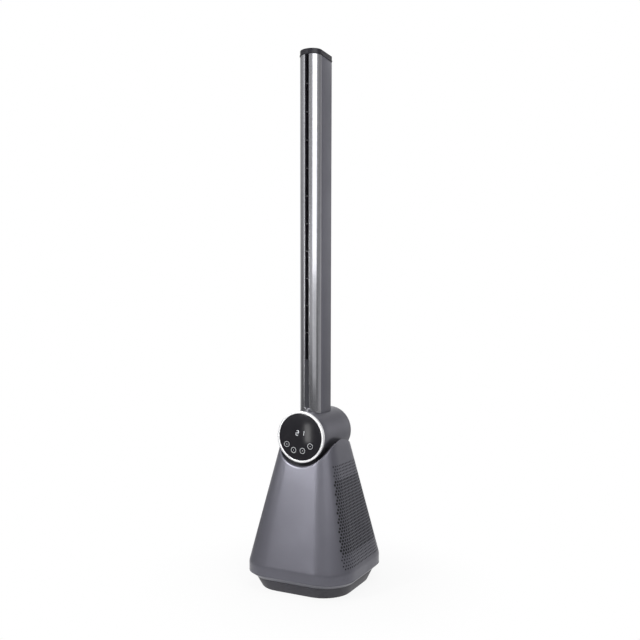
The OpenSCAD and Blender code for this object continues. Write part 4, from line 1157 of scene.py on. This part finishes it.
@dataclass
class Drum:
    """The drum in the saddle: its sleeve, the silver ring and the display."""

    radius: float = 0.0461
    front: float = -0.0562
    back: float = 0.066
    wall: float = 0.0024
    rear_round: float = 0.0021
    slot_half: float = 0.033
    slot_angle: float = 61.0
    socket_half_x: float = 0.0184
    socket_wall: float = 0.002
    socket_round: float = 0.012
    ring_r: float = 0.0486
    ring_open: float = 0.0445
    ring_front: float = -0.0627
    ring_depth: float = 0.006
    glass_r: float = 0.0443
    glass_front: float = -0.0619
    glass_back: float = -0.0599
    glass_edge: float = 0.0006
    glass_rise: float = 0.00015
    mark_lift: float = 0.000288
    mark_root: float = 0.0002
    digit_w: float = 0.0049
    digit_h: float = 0.0086
    stroke: float = 0.00062
    slant: float = 0.17
    key_r: float = 0.0054
    key_line: float = 0.00062
    key_spots: tuple[tuple[float, float], ...] = (
        (-0.0287, -0.0151), (-0.0143, -0.0254), (0.0044, -0.0256), (0.0206, -0.0161)
    )
    dot_r: float = 0.0008
    bar_half: tuple[float, float] = (0.0011, 0.00024)

    def round_rim(
        self, work: Workpiece, y: float, low: float, high: float, width: float, steps: int
    ) -> None:
        """Bevels the round edges in one end of a piece, in edit mode.

        Args:
            work: The piece.
            y: Where the end is.
            low: The radius that the edges lie beyond.
            high: The radius that they lie within.
            width: How far the bevel reaches.
            steps: Its segments.
        """

        def wanted(a: Vector, b: Vector) -> bool:
            """Whether both ends of an edge lie in that ring."""
            radii = [math.hypot(p.x, p.z - AXIS_Z) for p in (a, b)]
            return max(abs(a.y - y), abs(b.y - y)) < NEAR and low < min(radii) <= max(radii) < high

        work.bevel_edges(wanted, width, steps)

    def in_slot(self, f: bmesh.types.BMFace) -> bool:
        """Whether a face of the sleeve lies where the neck passes through it."""
        middle = f.calc_center_median()
        angle = math.degrees(math.atan2(middle.x, AXIS_Z - middle.z))
        return abs(middle.y) < self.slot_half and abs(angle) < self.slot_angle

    def sleeve(self) -> None:
        """Makes the sleeve, with its rounded rear edge, the neck's slot and the column's socket."""
        ends = (0, self.front, AXIS_Z), (0, self.back, AXIS_Z)
        work = Workpiece.rod("drum_tube", self.radius, *ends, 144, False)
        with work.editing():
            work.split(Y, (-self.slot_half, self.slot_half))
        work.open_up(self.in_slot)
        work.tidy()
        work.face_outwards(Z, -1)
        work.thicken(self.wall)
        skin = self.radius - 3e-4
        with work.editing():
            self.round_rim(work, self.back, skin, 1.0, self.rear_round, 5)
            self.round_rim(work, self.front, skin, 1.0, 0.0005, 2)
        half, inner = self.socket_half_x, self.socket_half_x - self.socket_wall
        work.cut(Workpiece.block("air_mouth", (-inner, -0.031, AXIS_Z + 0.02), (inner, 0.02, 0.36)))
        socket = Workpiece.block(
            "column_socket", (-half, -0.0335, AXIS_Z + 0.0405), (half, 0.0235, 0.373)
        )
        socket.bevel_along(Z, self.socket_round, 8, lambda p: p.y < 0)
        socket.open_up(lambda f: abs(f.normal.z) > 0.9)
        socket.tidy()
        socket.thicken(self.socket_wall)
        work.join(socket)
        deliver(work.shade(34.0), "head", Slot.BODY, "drum_sleeve")

    def ring(self) -> None:
        """Makes the turned ring around the display."""
        front, back = self.ring_front, self.ring_front + self.ring_depth
        ends = (0, front, AXIS_Z), (0, back, AXIS_Z)
        work = Workpiece.rod("ring_bezel", self.ring_r, *ends, 160)
        work.hollow(self.ring_r - self.ring_open)
        outer = self.ring_r - 1e-4
        with work.editing():
            self.round_rim(work, front, outer, 1.0, 0.0010, 4)
            self.round_rim(work, front, 0.0, self.ring_open + 2e-4, 0.0004, 3)
            self.round_rim(work, back, outer, 1.0, 0.0006, 3)
        work.tidy()
        deliver(work.shade(40.0), "body", Slot.SILVER, "display_ring")

    def glass(self) -> None:
        """Makes the dark disc, with a softened rim."""
        ends = (0, self.glass_front, AXIS_Z), (0, self.glass_back, AXIS_Z)
        work = Workpiece.rod("display_disc", self.glass_r, *ends, 144)
        with work.editing():
            work.pick(Element.FACE, lambda f: f.normal.y < -0.9)
            bpy.ops.mesh.inset(thickness=self.glass_edge)
            bpy.ops.transform.translate(value=(0, -self.glass_rise, 0))
        work.tidy()
        deliver(work.shade(40.0), "body", Slot.GLASS, "display_glass")

    @property
    def mark_span(self) -> tuple[float, float]:
        """Where a mark on the glass begins and ends along Y."""
        return self.glass_front - self.mark_lift, self.glass_front + self.mark_root

    def bar(
        self,
        name: str,
        spot: tuple[float, float],
        half: tuple[float, float],
        cut: float,
        steps: int,
    ) -> Workpiece:
        """Makes a bar of a numeral or of a key's sign.

        Args:
            name: The name of the bar.
            spot: Its middle, along X and up.
            half: Half its size, along X and up.
            cut: How far its corners are bevelled.
            steps: The bevel's segments.

        Returns:
            The workpiece.
        """
        (x, z), (hx, hz), (y0, y1) = spot, half, self.mark_span
        work = Workpiece.block(name, (x - hx, y0, z - hz), (x + hx, y1, z + hz))
        work.bevel_along(Y, cut, steps)
        return work

    def numeral(self, lit: Sequence[int], x: float, z: float) -> list[Workpiece]:
        """Makes a seven-bar numeral.

        Args:
            lit: Which bars show: top, upper right, lower right, bottom, lower left, upper left,
                middle.
            x: Its middle along X.
            z: Its middle height.

        Returns:
            Its bars.
        """
        w, h, s = self.digit_w / 2, self.digit_h / 2, self.stroke
        bars = [
            (0.0, h, False), (w, h / 2, True), (w, -h / 2, True), (0.0, -h, False),
            (-w, -h / 2, True), (-w, h / 2, True), (0.0, 0.0, False),
        ]
        made = []
        for n in lit:
            dx, dz, upright = bars[n]
            half = ((h if upright else 2 * w) - s * 0.25) / 2
            size = (s / 2, half) if upright else (half, s / 2)
            made.append(self.bar(f"bar_{n}", (x + dx + self.slant * dz, z + dz), size, s * 0.42, 1))
        return made

    def key(self, kind: int, x: float, z: float) -> list[Workpiece]:
        """Makes a touch key: a thin ring with a plain sign in it.

        Args:
            kind: 0 a dot, 1 an upright bar, 2 a cross of bars, 3 a level bar.
            x: Middle of the key along X.
            z: Middle of the key's height.

        Returns:
            Its pieces.
        """
        y0, y1 = self.mark_span
        ring = Workpiece.rod("key_ring", self.key_r, (x, y0, z), (x, y1, z), 40)
        ring.hollow(self.key_line)
        ring.tidy()
        if kind == 0:
            return [ring, Workpiece.rod("key_dot", self.dot_r, (x, y0, z), (x, y1, z), 20)]
        level, upright = self.bar_half, self.bar_half[::-1]
        sizes = {1: (upright,), 2: (upright, level), 3: (level,)}[kind]
        return [ring, *(self.bar("key_bar", (x, z), size, 0.0002, 2) for size in sizes)]

    def marks(self) -> None:
        """Makes the lit numerals, and the printed touch keys with a faint painted glow."""
        two = self.numeral((0, 1, 6, 4, 3), -0.0064, AXIS_Z + 0.0075)
        one = self.numeral((1, 2), 0.0050, AXIS_Z + 0.0077)
        keys = [
            piece
            for kind, (x, dz) in enumerate(self.key_spots)
            for piece in self.key(kind, x, AXIS_Z + dz)
        ]
        for name, group, glow, tone in (
            ("display_numerals", two + one, 0.75, (0.78, 0.80, 0.84)),
            # The printed keys get a faint glow: painted light, as they are no lamp.
            ("touch_keys", keys, 0.14, (0.60, 0.62, 0.64)),
        ):
            first, *rest = group
            first.join(*rest)
            first.obj.name = name
            shade: Colour = tuple(c * 0.9 for c in tone)
            finish = Finish(tone, shade, 0.5, glow=glow, wear=0.0, dust=0.0)
            material = finish.material(f"finish_{name}")
            deliver(first.shade(30.0), "body", Slot.BLACK, material=material)

    def build(self) -> None:
        """Makes the drum's pieces."""
        self.sleeve()
        self.ring()
        self.glass()
        self.marks()


@dataclass
class Column:
    """The slotted column: its metallic front, its plain back, the slot's strip and the cap."""

    half_w: float = 0.02105
    nose_depth: float = 0.0183
    nose_root: float = 0.0185
    nose_sides: int = 128
    back: float = 0.0262
    back_r: float = 0.003
    wall: float = 0.0022
    slot_half: float = 0.0045
    slot_play: float = 0.0003
    edge_round: float = 0.0006
    foot_z: float = 0.318
    top_z: float = 0.9904
    total: float = 1.0
    strip_z: float = 0.3435
    strip_top: float = 0.4364
    strip_sink: float = 0.0011
    strip_gap: float = 0.00015
    strip_wall: float = 0.0012
    web_z: float = 0.375
    web_y: float = -0.0308
    flange_half: float = 0.009
    flange_wall: float = 0.0015
    seam: float = 0.00015
    drum_clear: float = 0.04655
    screw_x: float = 0.009
    screw_zs: tuple[float, ...] = (0.351, 0.365)
    screw_r: float = 0.0031
    cap_out: float = 0.00095
    cap_lip: float = 0.0018
    groove_in: float = 0.0008
    groove_h: float = 0.0007
    groove_out: float = 0.0005
    top_ring: float = 0.0016
    plug_low: Corner = (-0.0185, -0.016, 0.9834)
    plug_high: Corner = (0.0185, 0.0235, 0.9907)
    plug_sink: float = 0.0062

    def nose(self, name: str, grow: float, z: float) -> Workpiece:
        """Makes the half ellipse of the nose as a row of edges.

        Args:
            name: The name of the piece.
            grow: How far it stands out past the column.
            z: Its height.

        Returns:
            The workpiece.
        """
        release_all()
        bpy.ops.mesh.primitive_circle_add(
            vertices=self.nose_sides, radius=1.0, fill_type="NOTHING", location=(0, 0, 0)
        )
        work = Workpiece(name)
        with work.editing():
            bpy.ops.mesh.select_all(action="SELECT")
            bpy.ops.transform.resize(value=(self.half_w + grow, self.nose_depth + grow, 1.0))
            work.pick(Element.VERT, lambda v: v.co.y > 1e-6)
            bpy.ops.mesh.delete(type="VERT")
            bpy.ops.mesh.select_all(action="SELECT")
            bpy.ops.transform.translate(value=(0, -self.nose_root, z))
        return work

    def drum_cutter(self) -> Workpiece:
        """Makes the bar that clears the drum out of a cover."""
        ends = (0, -0.1, AXIS_Z), (0, 0.1, AXIS_Z)
        return Workpiece.rod("drum_cutter", self.drum_clear, *ends, 144)

    def at_strip_end(self, p: Vector) -> bool:
        """Whether a place is at the lower end of the slot."""
        return p.z < self.strip_z + 1e-4

    def on_slot_edge(self, a: Vector, b: Vector) -> bool:
        """Whether an edge borders the slot on the column's outer face."""
        low = min(a.z, b.z)
        depths = [
            math.hypot(p.x / self.half_w, (p.y + self.nose_root) / self.nose_depth)
            for p in (a, b)
        ]
        return (
            max(abs(a.x), abs(b.x)) < self.slot_half + 1e-4
            and self.strip_z - 0.0008 < low < self.top_z - 0.01
            and min(depths) > 0.99
        )

    def front_cover(self) -> None:
        """Makes the rounded front with its slot."""
        clear_low, clear_high = 0.75 * self.slot_half, self.slot_half + 1.2 * self.edge_round
        work = self.nose("column_front", 0.0, self.foot_z)
        with work.editing():
            work.pick(Element.VERT, lambda v: clear_low < abs(v.co.x) < clear_high)
            bpy.ops.mesh.dissolve_verts()
            bpy.ops.mesh.select_all(action="SELECT")
            work.grow(self.top_z - self.foot_z)
        work.tidy()
        work.face_outwards(Y, -1)
        work.thicken(self.wall)
        half = self.slot_half
        slot = Workpiece.block(
            "slot_cutter", (-half, -0.05, self.strip_z - self.slot_play), (half, -0.02, 1.05)
        )
        slot.bevel_along(Y, half * 0.94, 10, self.at_strip_end)
        work.cut(self.drum_cutter(), slot)
        work.tidy(2e-6)
        with work.editing():
            work.bevel_edges(self.on_slot_edge, self.edge_round, 6, clamp=False)
            work.split(Z, (self.strip_z - 0.0035, self.strip_z + 0.0055))
        work.soften(0.0002)
        deliver(work.shade(28.0), "head", Slot.FRONT, "column_front_cover")

    def rear_cover(self) -> None:
        """Makes the flat back with its rounded edges and its screw holes."""
        front = -self.nose_root + self.seam
        work = Workpiece.block(
            "column_rear", (-self.half_w, front, self.foot_z), (self.half_w, self.back, self.top_z)
        )
        work.bevel_along(Z, self.back_r, 6, lambda p: p.y > 0)
        work.open_up(lambda f: f.normal.y < -0.9 or abs(f.normal.z) > 0.9)
        work.tidy()
        work.face_outwards(Y, 1)
        work.thicken(self.wall)
        work.cut(self.drum_cutter())
        for x in (-self.screw_x, self.screw_x):
            for z in self.screw_zs:
                ends = (x, self.back - 0.001, z), (x, self.back + 0.002, z)
                work.cut(Workpiece.rod("screw_sink", self.screw_r, *ends, 32))
        work.tidy(2e-6)
        work.soften(0.0003)
        deliver(work.shade(28.0), "head", Slot.BODY, "column_rear_cover")

    def strip(self) -> None:
        """Makes the sunk strip below the outlet, with its rounded lower end, in a darkened copy of
        the body finish that paints the shade of its recess.
        """
        half, wide, top = self.slot_half - self.strip_gap, self.flange_half, self.strip_top
        y0, y1 = -self.nose_root - self.nose_depth + self.strip_sink, self.web_y
        work = Workpiece.block(
            "slot_infill", (-half, y0, self.strip_z), (half, y0 + self.strip_wall, top)
        )
        work.bevel_along(Y, half * 0.92, 8, self.at_strip_end)
        with work.editing():
            work.pick(Element.FACE, lambda f: f.normal.y < -0.9)
            bpy.ops.mesh.inset(thickness=0.0009)
            bpy.ops.transform.translate(value=(0, 0.0003, 0))
        web_y = y0 + self.strip_wall - 1e-4
        web = Workpiece.block("slot_web", (-half, web_y, self.web_z), (half, y1, top))
        flange = Workpiece.block(
            "slot_flange", (-wide, y1 - self.flange_wall, self.web_z), (wide, y1, top)
        )
        work.join(web, flange)
        work.soften(0.00015)
        # A darkened copy of the body finish: painted shade for the strip's sunk place in the slot.
        shaded_body_finish = replace(
            Finishes.table[Slot.BODY],
            colour=(0.030, 0.030, 0.036), shade=(0.026, 0.026, 0.031), roughness=0.42,
        )
        material = shaded_body_finish.material("slot_strip_painted_shade")
        deliver(work.shade(28.0), "head", Slot.BODY, "slot_strip", material=material)

    def cap(self) -> None:
        """Makes the dark cap: a lip, a groove, a bevelled top, and a plug in the column."""
        out = self.cap_out
        work = self.nose("top_cap", out, self.top_z)
        with work.editing():
            work.pick(Element.VERT, lambda v: v.co.y > -self.nose_root - NEAR)
            bpy.ops.mesh.extrude_vertices_move(
                TRANSFORM_OT_translate={"value": (0, self.nose_root + self.back + out, 0)}
            )
            bpy.ops.mesh.edge_face_add()
            work.pick(Element.VERT, lambda v: v.co.y > self.back)
            bpy.ops.mesh.bevel(
                offset=self.back_r + out, offset_type="OFFSET", segments=6, affect="VERTICES"
            )
            bpy.ops.mesh.select_all(action="SELECT")
            bpy.ops.mesh.edge_face_add()
            bpy.ops.mesh.select_mode(type="FACE")
            bpy.ops.mesh.select_all(action="SELECT")
            work.grow(self.cap_lip)
            bpy.ops.mesh.inset(thickness=self.groove_in)
            work.grow(self.groove_h)
            bpy.ops.mesh.inset(thickness=self.groove_out, use_outset=True)
            work.grow(self.total - self.top_z - (self.cap_lip + self.groove_h))
            bpy.ops.mesh.inset(thickness=self.top_ring)
        work.tidy()
        work.soften(0.0007, 3, 55.0)
        plug = Workpiece.block("cap_plug", self.plug_low, self.plug_high)
        with plug.editing():
            plug.pick(Element.FACE, lambda f: f.normal.z < -0.9)
            bpy.ops.mesh.inset(thickness=0.0016)
            plug.grow(self.plug_sink)
        work.join(plug)
        deliver(work.shade(28.0), "head", Slot.CAP, "column_cap")

    def build(self) -> None:
        """Makes the column's pieces."""
        self.front_cover()
        self.rear_cover()
        self.strip()
        self.cap()


@dataclass(frozen=True)
class Softbox:
    """A rectangular lamp that looks at a point."""

    name: str
    place: Corner
    target: Corner
    size: tuple[float, float]
    radiance: float

    def hang(self) -> None:
        """Adds the lamp."""
        lamp = bpy.data.lights.new(self.name, "AREA")
        lamp.shape = "RECTANGLE"
        lamp.size, lamp.size_y = self.size
        lamp.energy = self.radiance * math.pi * self.size[0] * self.size[1]
        obj = bpy.data.objects.new(self.name, lamp)
        obj.location = self.place
        aim = Vector(self.target) - Vector(self.place)
        obj.rotation_euler = aim.to_track_quat("-Z", "Y").to_euler()
        obj.visible_camera = False
        bpy.context.collection.objects.link(obj)


@dataclass(frozen=True)
class Studio:
    """Floor, white surroundings, lamps and camera."""

    camera_place: Corner = (0.6711, -1.3137, 0.5146)
    camera_turn: float = 26.94
    camera_pitch: float = 5.27
    camera_roll: float = 0.09
    lens: float = 43.287
    shift: tuple[float, float] = (0.0045, 0.1074)
    floor_r: float = 2.6
    plain_light: float = 0.30
    mirrored_near: float = 0.85
    mirrored_front: float = 0.20
    mirrored_back: float = 0.52
    lamps: tuple[Softbox, ...] = (
        Softbox("strip_right", (0.53, -0.47, 1.195), (0.0, -0.02, 1.195), (0.56, 1.11), 3.3),
        Softbox("strip_low", (0.53, -0.47, 0.485), (0.0, -0.02, 0.485), (0.50, 0.31), 0.8),
        Softbox("strip_left", (-0.62, -0.52, 0.90), (0.0, -0.03, 0.90), (0.14, 1.2), 1.5),
        Softbox("strip_mid", (-0.37, -0.74, 0.97), (0.0, -0.03, 0.97), (0.28, 0.96), 2.4),
        Softbox("front_left", (-0.29, -0.72, 0.59), (0.0, -0.08, 0.20), (0.10, 0.36), 23.0),
        Softbox("low_left", (-0.29, -0.80, 0.21), (0.0, -0.10, 0.10), (0.07, 0.20), 7.0),
        Softbox("fill", (0.45, -1.30, 0.62), (0.0, 0.0, 0.28), (0.9, 0.5), 0.5),
        Softbox("rear_top", (-0.1, 1.3, 1.9), (0.0, 0.0, 0.40), (1.0, 0.5), 2.2),
        Softbox("overhead", (0.1, 0.1, 2.1), (0.0, 0.0, 0.0), (1.4, 1.4), 0.7),
    )

    def camera(self) -> None:
        """Adds the camera at the photograph's viewpoint."""
        data = bpy.data.cameras.new("view_camera")
        data.lens, data.sensor_width = self.lens, 36.0
        data.shift_x, data.shift_y = self.shift
        data.clip_end = 30.0
        obj = bpy.data.objects.new("view_camera", data)
        obj.location = self.camera_place
        turns = (self.camera_turn, "Z"), (90.0 - self.camera_pitch, "X"), (self.camera_roll, "Z")
        yaw, tilt, roll = (Matrix.Rotation(math.radians(a), 3, axis) for a, axis in turns)
        obj.rotation_euler = (yaw @ tilt @ roll).to_euler()
        bpy.context.collection.objects.link(obj)
        bpy.context.scene.camera = obj

    def surroundings(self) -> None:
        """Fills the world: white to the camera, plain light, and a studio in reflections."""
        world = bpy.data.worlds.new("studio")
        world.use_nodes = True
        t = NodeTree(world.node_tree)
        generated = t.add("ShaderNodeTexCoord").outputs["Generated"]
        way = t.add("ShaderNodeSeparateXYZ", {0: generated})
        path = t.add("ShaderNodeLightPath").outputs
        front = t.ramp(way.outputs[Z], -0.14, 0.26, 0.14, 0.72)
        back = t.ramp(way.outputs[Z], -0.10, 0.22, 0.68, 0.46)
        behind = t.ramp(way.outputs[Y], -0.25, 0.45)
        level = t.plus(t.times(front, t.maths("SUBTRACT", 1.0, behind)), t.times(back, behind))
        backdrop = t.ramp(t.weigh(way, -0.45, 0.89), 0.80, 0.95)
        level = t.maths("MAXIMUM", level, backdrop)
        sheen = t.ramp(t.weigh(way, 0.45, 0.89), 0.88, 0.98, 0.0, 0.30)
        level = t.plus(level, t.times(sheen, t.ramp(way.outputs[Z], -0.02, 0.06)))
        studio = t.add("ShaderNodeCombineColor", {0: level, 1: level, 2: level}).outputs[0]
        lit = t.blend(path["Is Glossy Ray"], (self.plain_light,) * 3, studio)
        seen = t.maths("MAXIMUM", path["Is Camera Ray"], path["Is Transmission Ray"])
        colour = t.blend(seen, lit, (1.0, 1.0, 1.0))
        sky = t.add("ShaderNodeBackground", {"Color": colour, "Strength": 1.0})
        t.add("ShaderNodeOutputWorld", {0: sky.outputs[0]})
        bpy.context.scene.world = world

    def floor(self) -> None:
        """Lays the pale floor, which fades to white around the object and keeps its shadow."""
        release_all()
        bpy.ops.mesh.primitive_circle_add(
            vertices=96, radius=self.floor_r, fill_type="NGON", location=(0, 0, -0.0002)
        )
        obj = bpy.context.active_object
        obj.name = "studio_floor"
        made = bpy.data.materials.new("floor_paper")
        made.use_nodes = True
        t = NodeTree(made.node_tree)
        place = t.place()
        away = t.add("ShaderNodeVectorMath", {0: place}, operation="LENGTH").outputs["Value"]
        path = t.add("ShaderNodeLightPath").outputs
        side = t.weigh(t.add("ShaderNodeSeparateXYZ", {0: place}), 0.6, 0.8)
        beyond = t.ramp(side, -0.10, 0.30, self.mirrored_front, self.mirrored_back)
        mirrored = t.ramp(away, 0.20, 0.70, self.mirrored_near, beyond)
        seen = t.maths("MAXIMUM", path["Is Camera Ray"], path["Is Transmission Ray"])
        share = t.times(seen, t.ramp(away, 0.08, 0.40, 0.90, 1.0))
        tint = t.blend(t.noise(300.0, 2.0, place), (0.80, 0.80, 0.80), (0.84, 0.84, 0.84))
        paper = t.add("ShaderNodeBsdfPrincipled", {"Base Color": tint, "Roughness": 0.9})
        white = (1.0, 1.0, 1.0)
        glow = t.add("ShaderNodeEmission", {"Color": white, "Strength": 1.0})
        image = t.add("ShaderNodeEmission", {"Color": white, "Strength": mirrored})
        mixed = t.add("ShaderNodeMixShader", {0: share, 1: paper.outputs[0], 2: glow.outputs[0]})
        glossy = {0: path["Is Glossy Ray"], 1: mixed.outputs[0], 2: image.outputs[0]}
        mixed = t.add("ShaderNodeMixShader", glossy)
        t.add("ShaderNodeOutputMaterial", {0: mixed.outputs[0]})
        obj.data.materials.append(made)

    def build(self) -> None:
        """Sets up the studio."""
        bpy.context.scene.view_settings.view_transform = "Standard"
        self.camera()
        self.surroundings()
        self.floor()
        for lamp in self.lamps:
            lamp.hang()


def main() -> None:
    """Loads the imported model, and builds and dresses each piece."""
    logging.basicConfig(level=logging.INFO, format="%(message)s")
    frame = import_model()
    Finishes.dress_nodes(frame)
    Studio().build()
    Housing().build()
    Undercarriage().build()
    Drum().build()
    Column().build()
    LOG.info("sizes written")


if __name__ == "__main__":
    main()
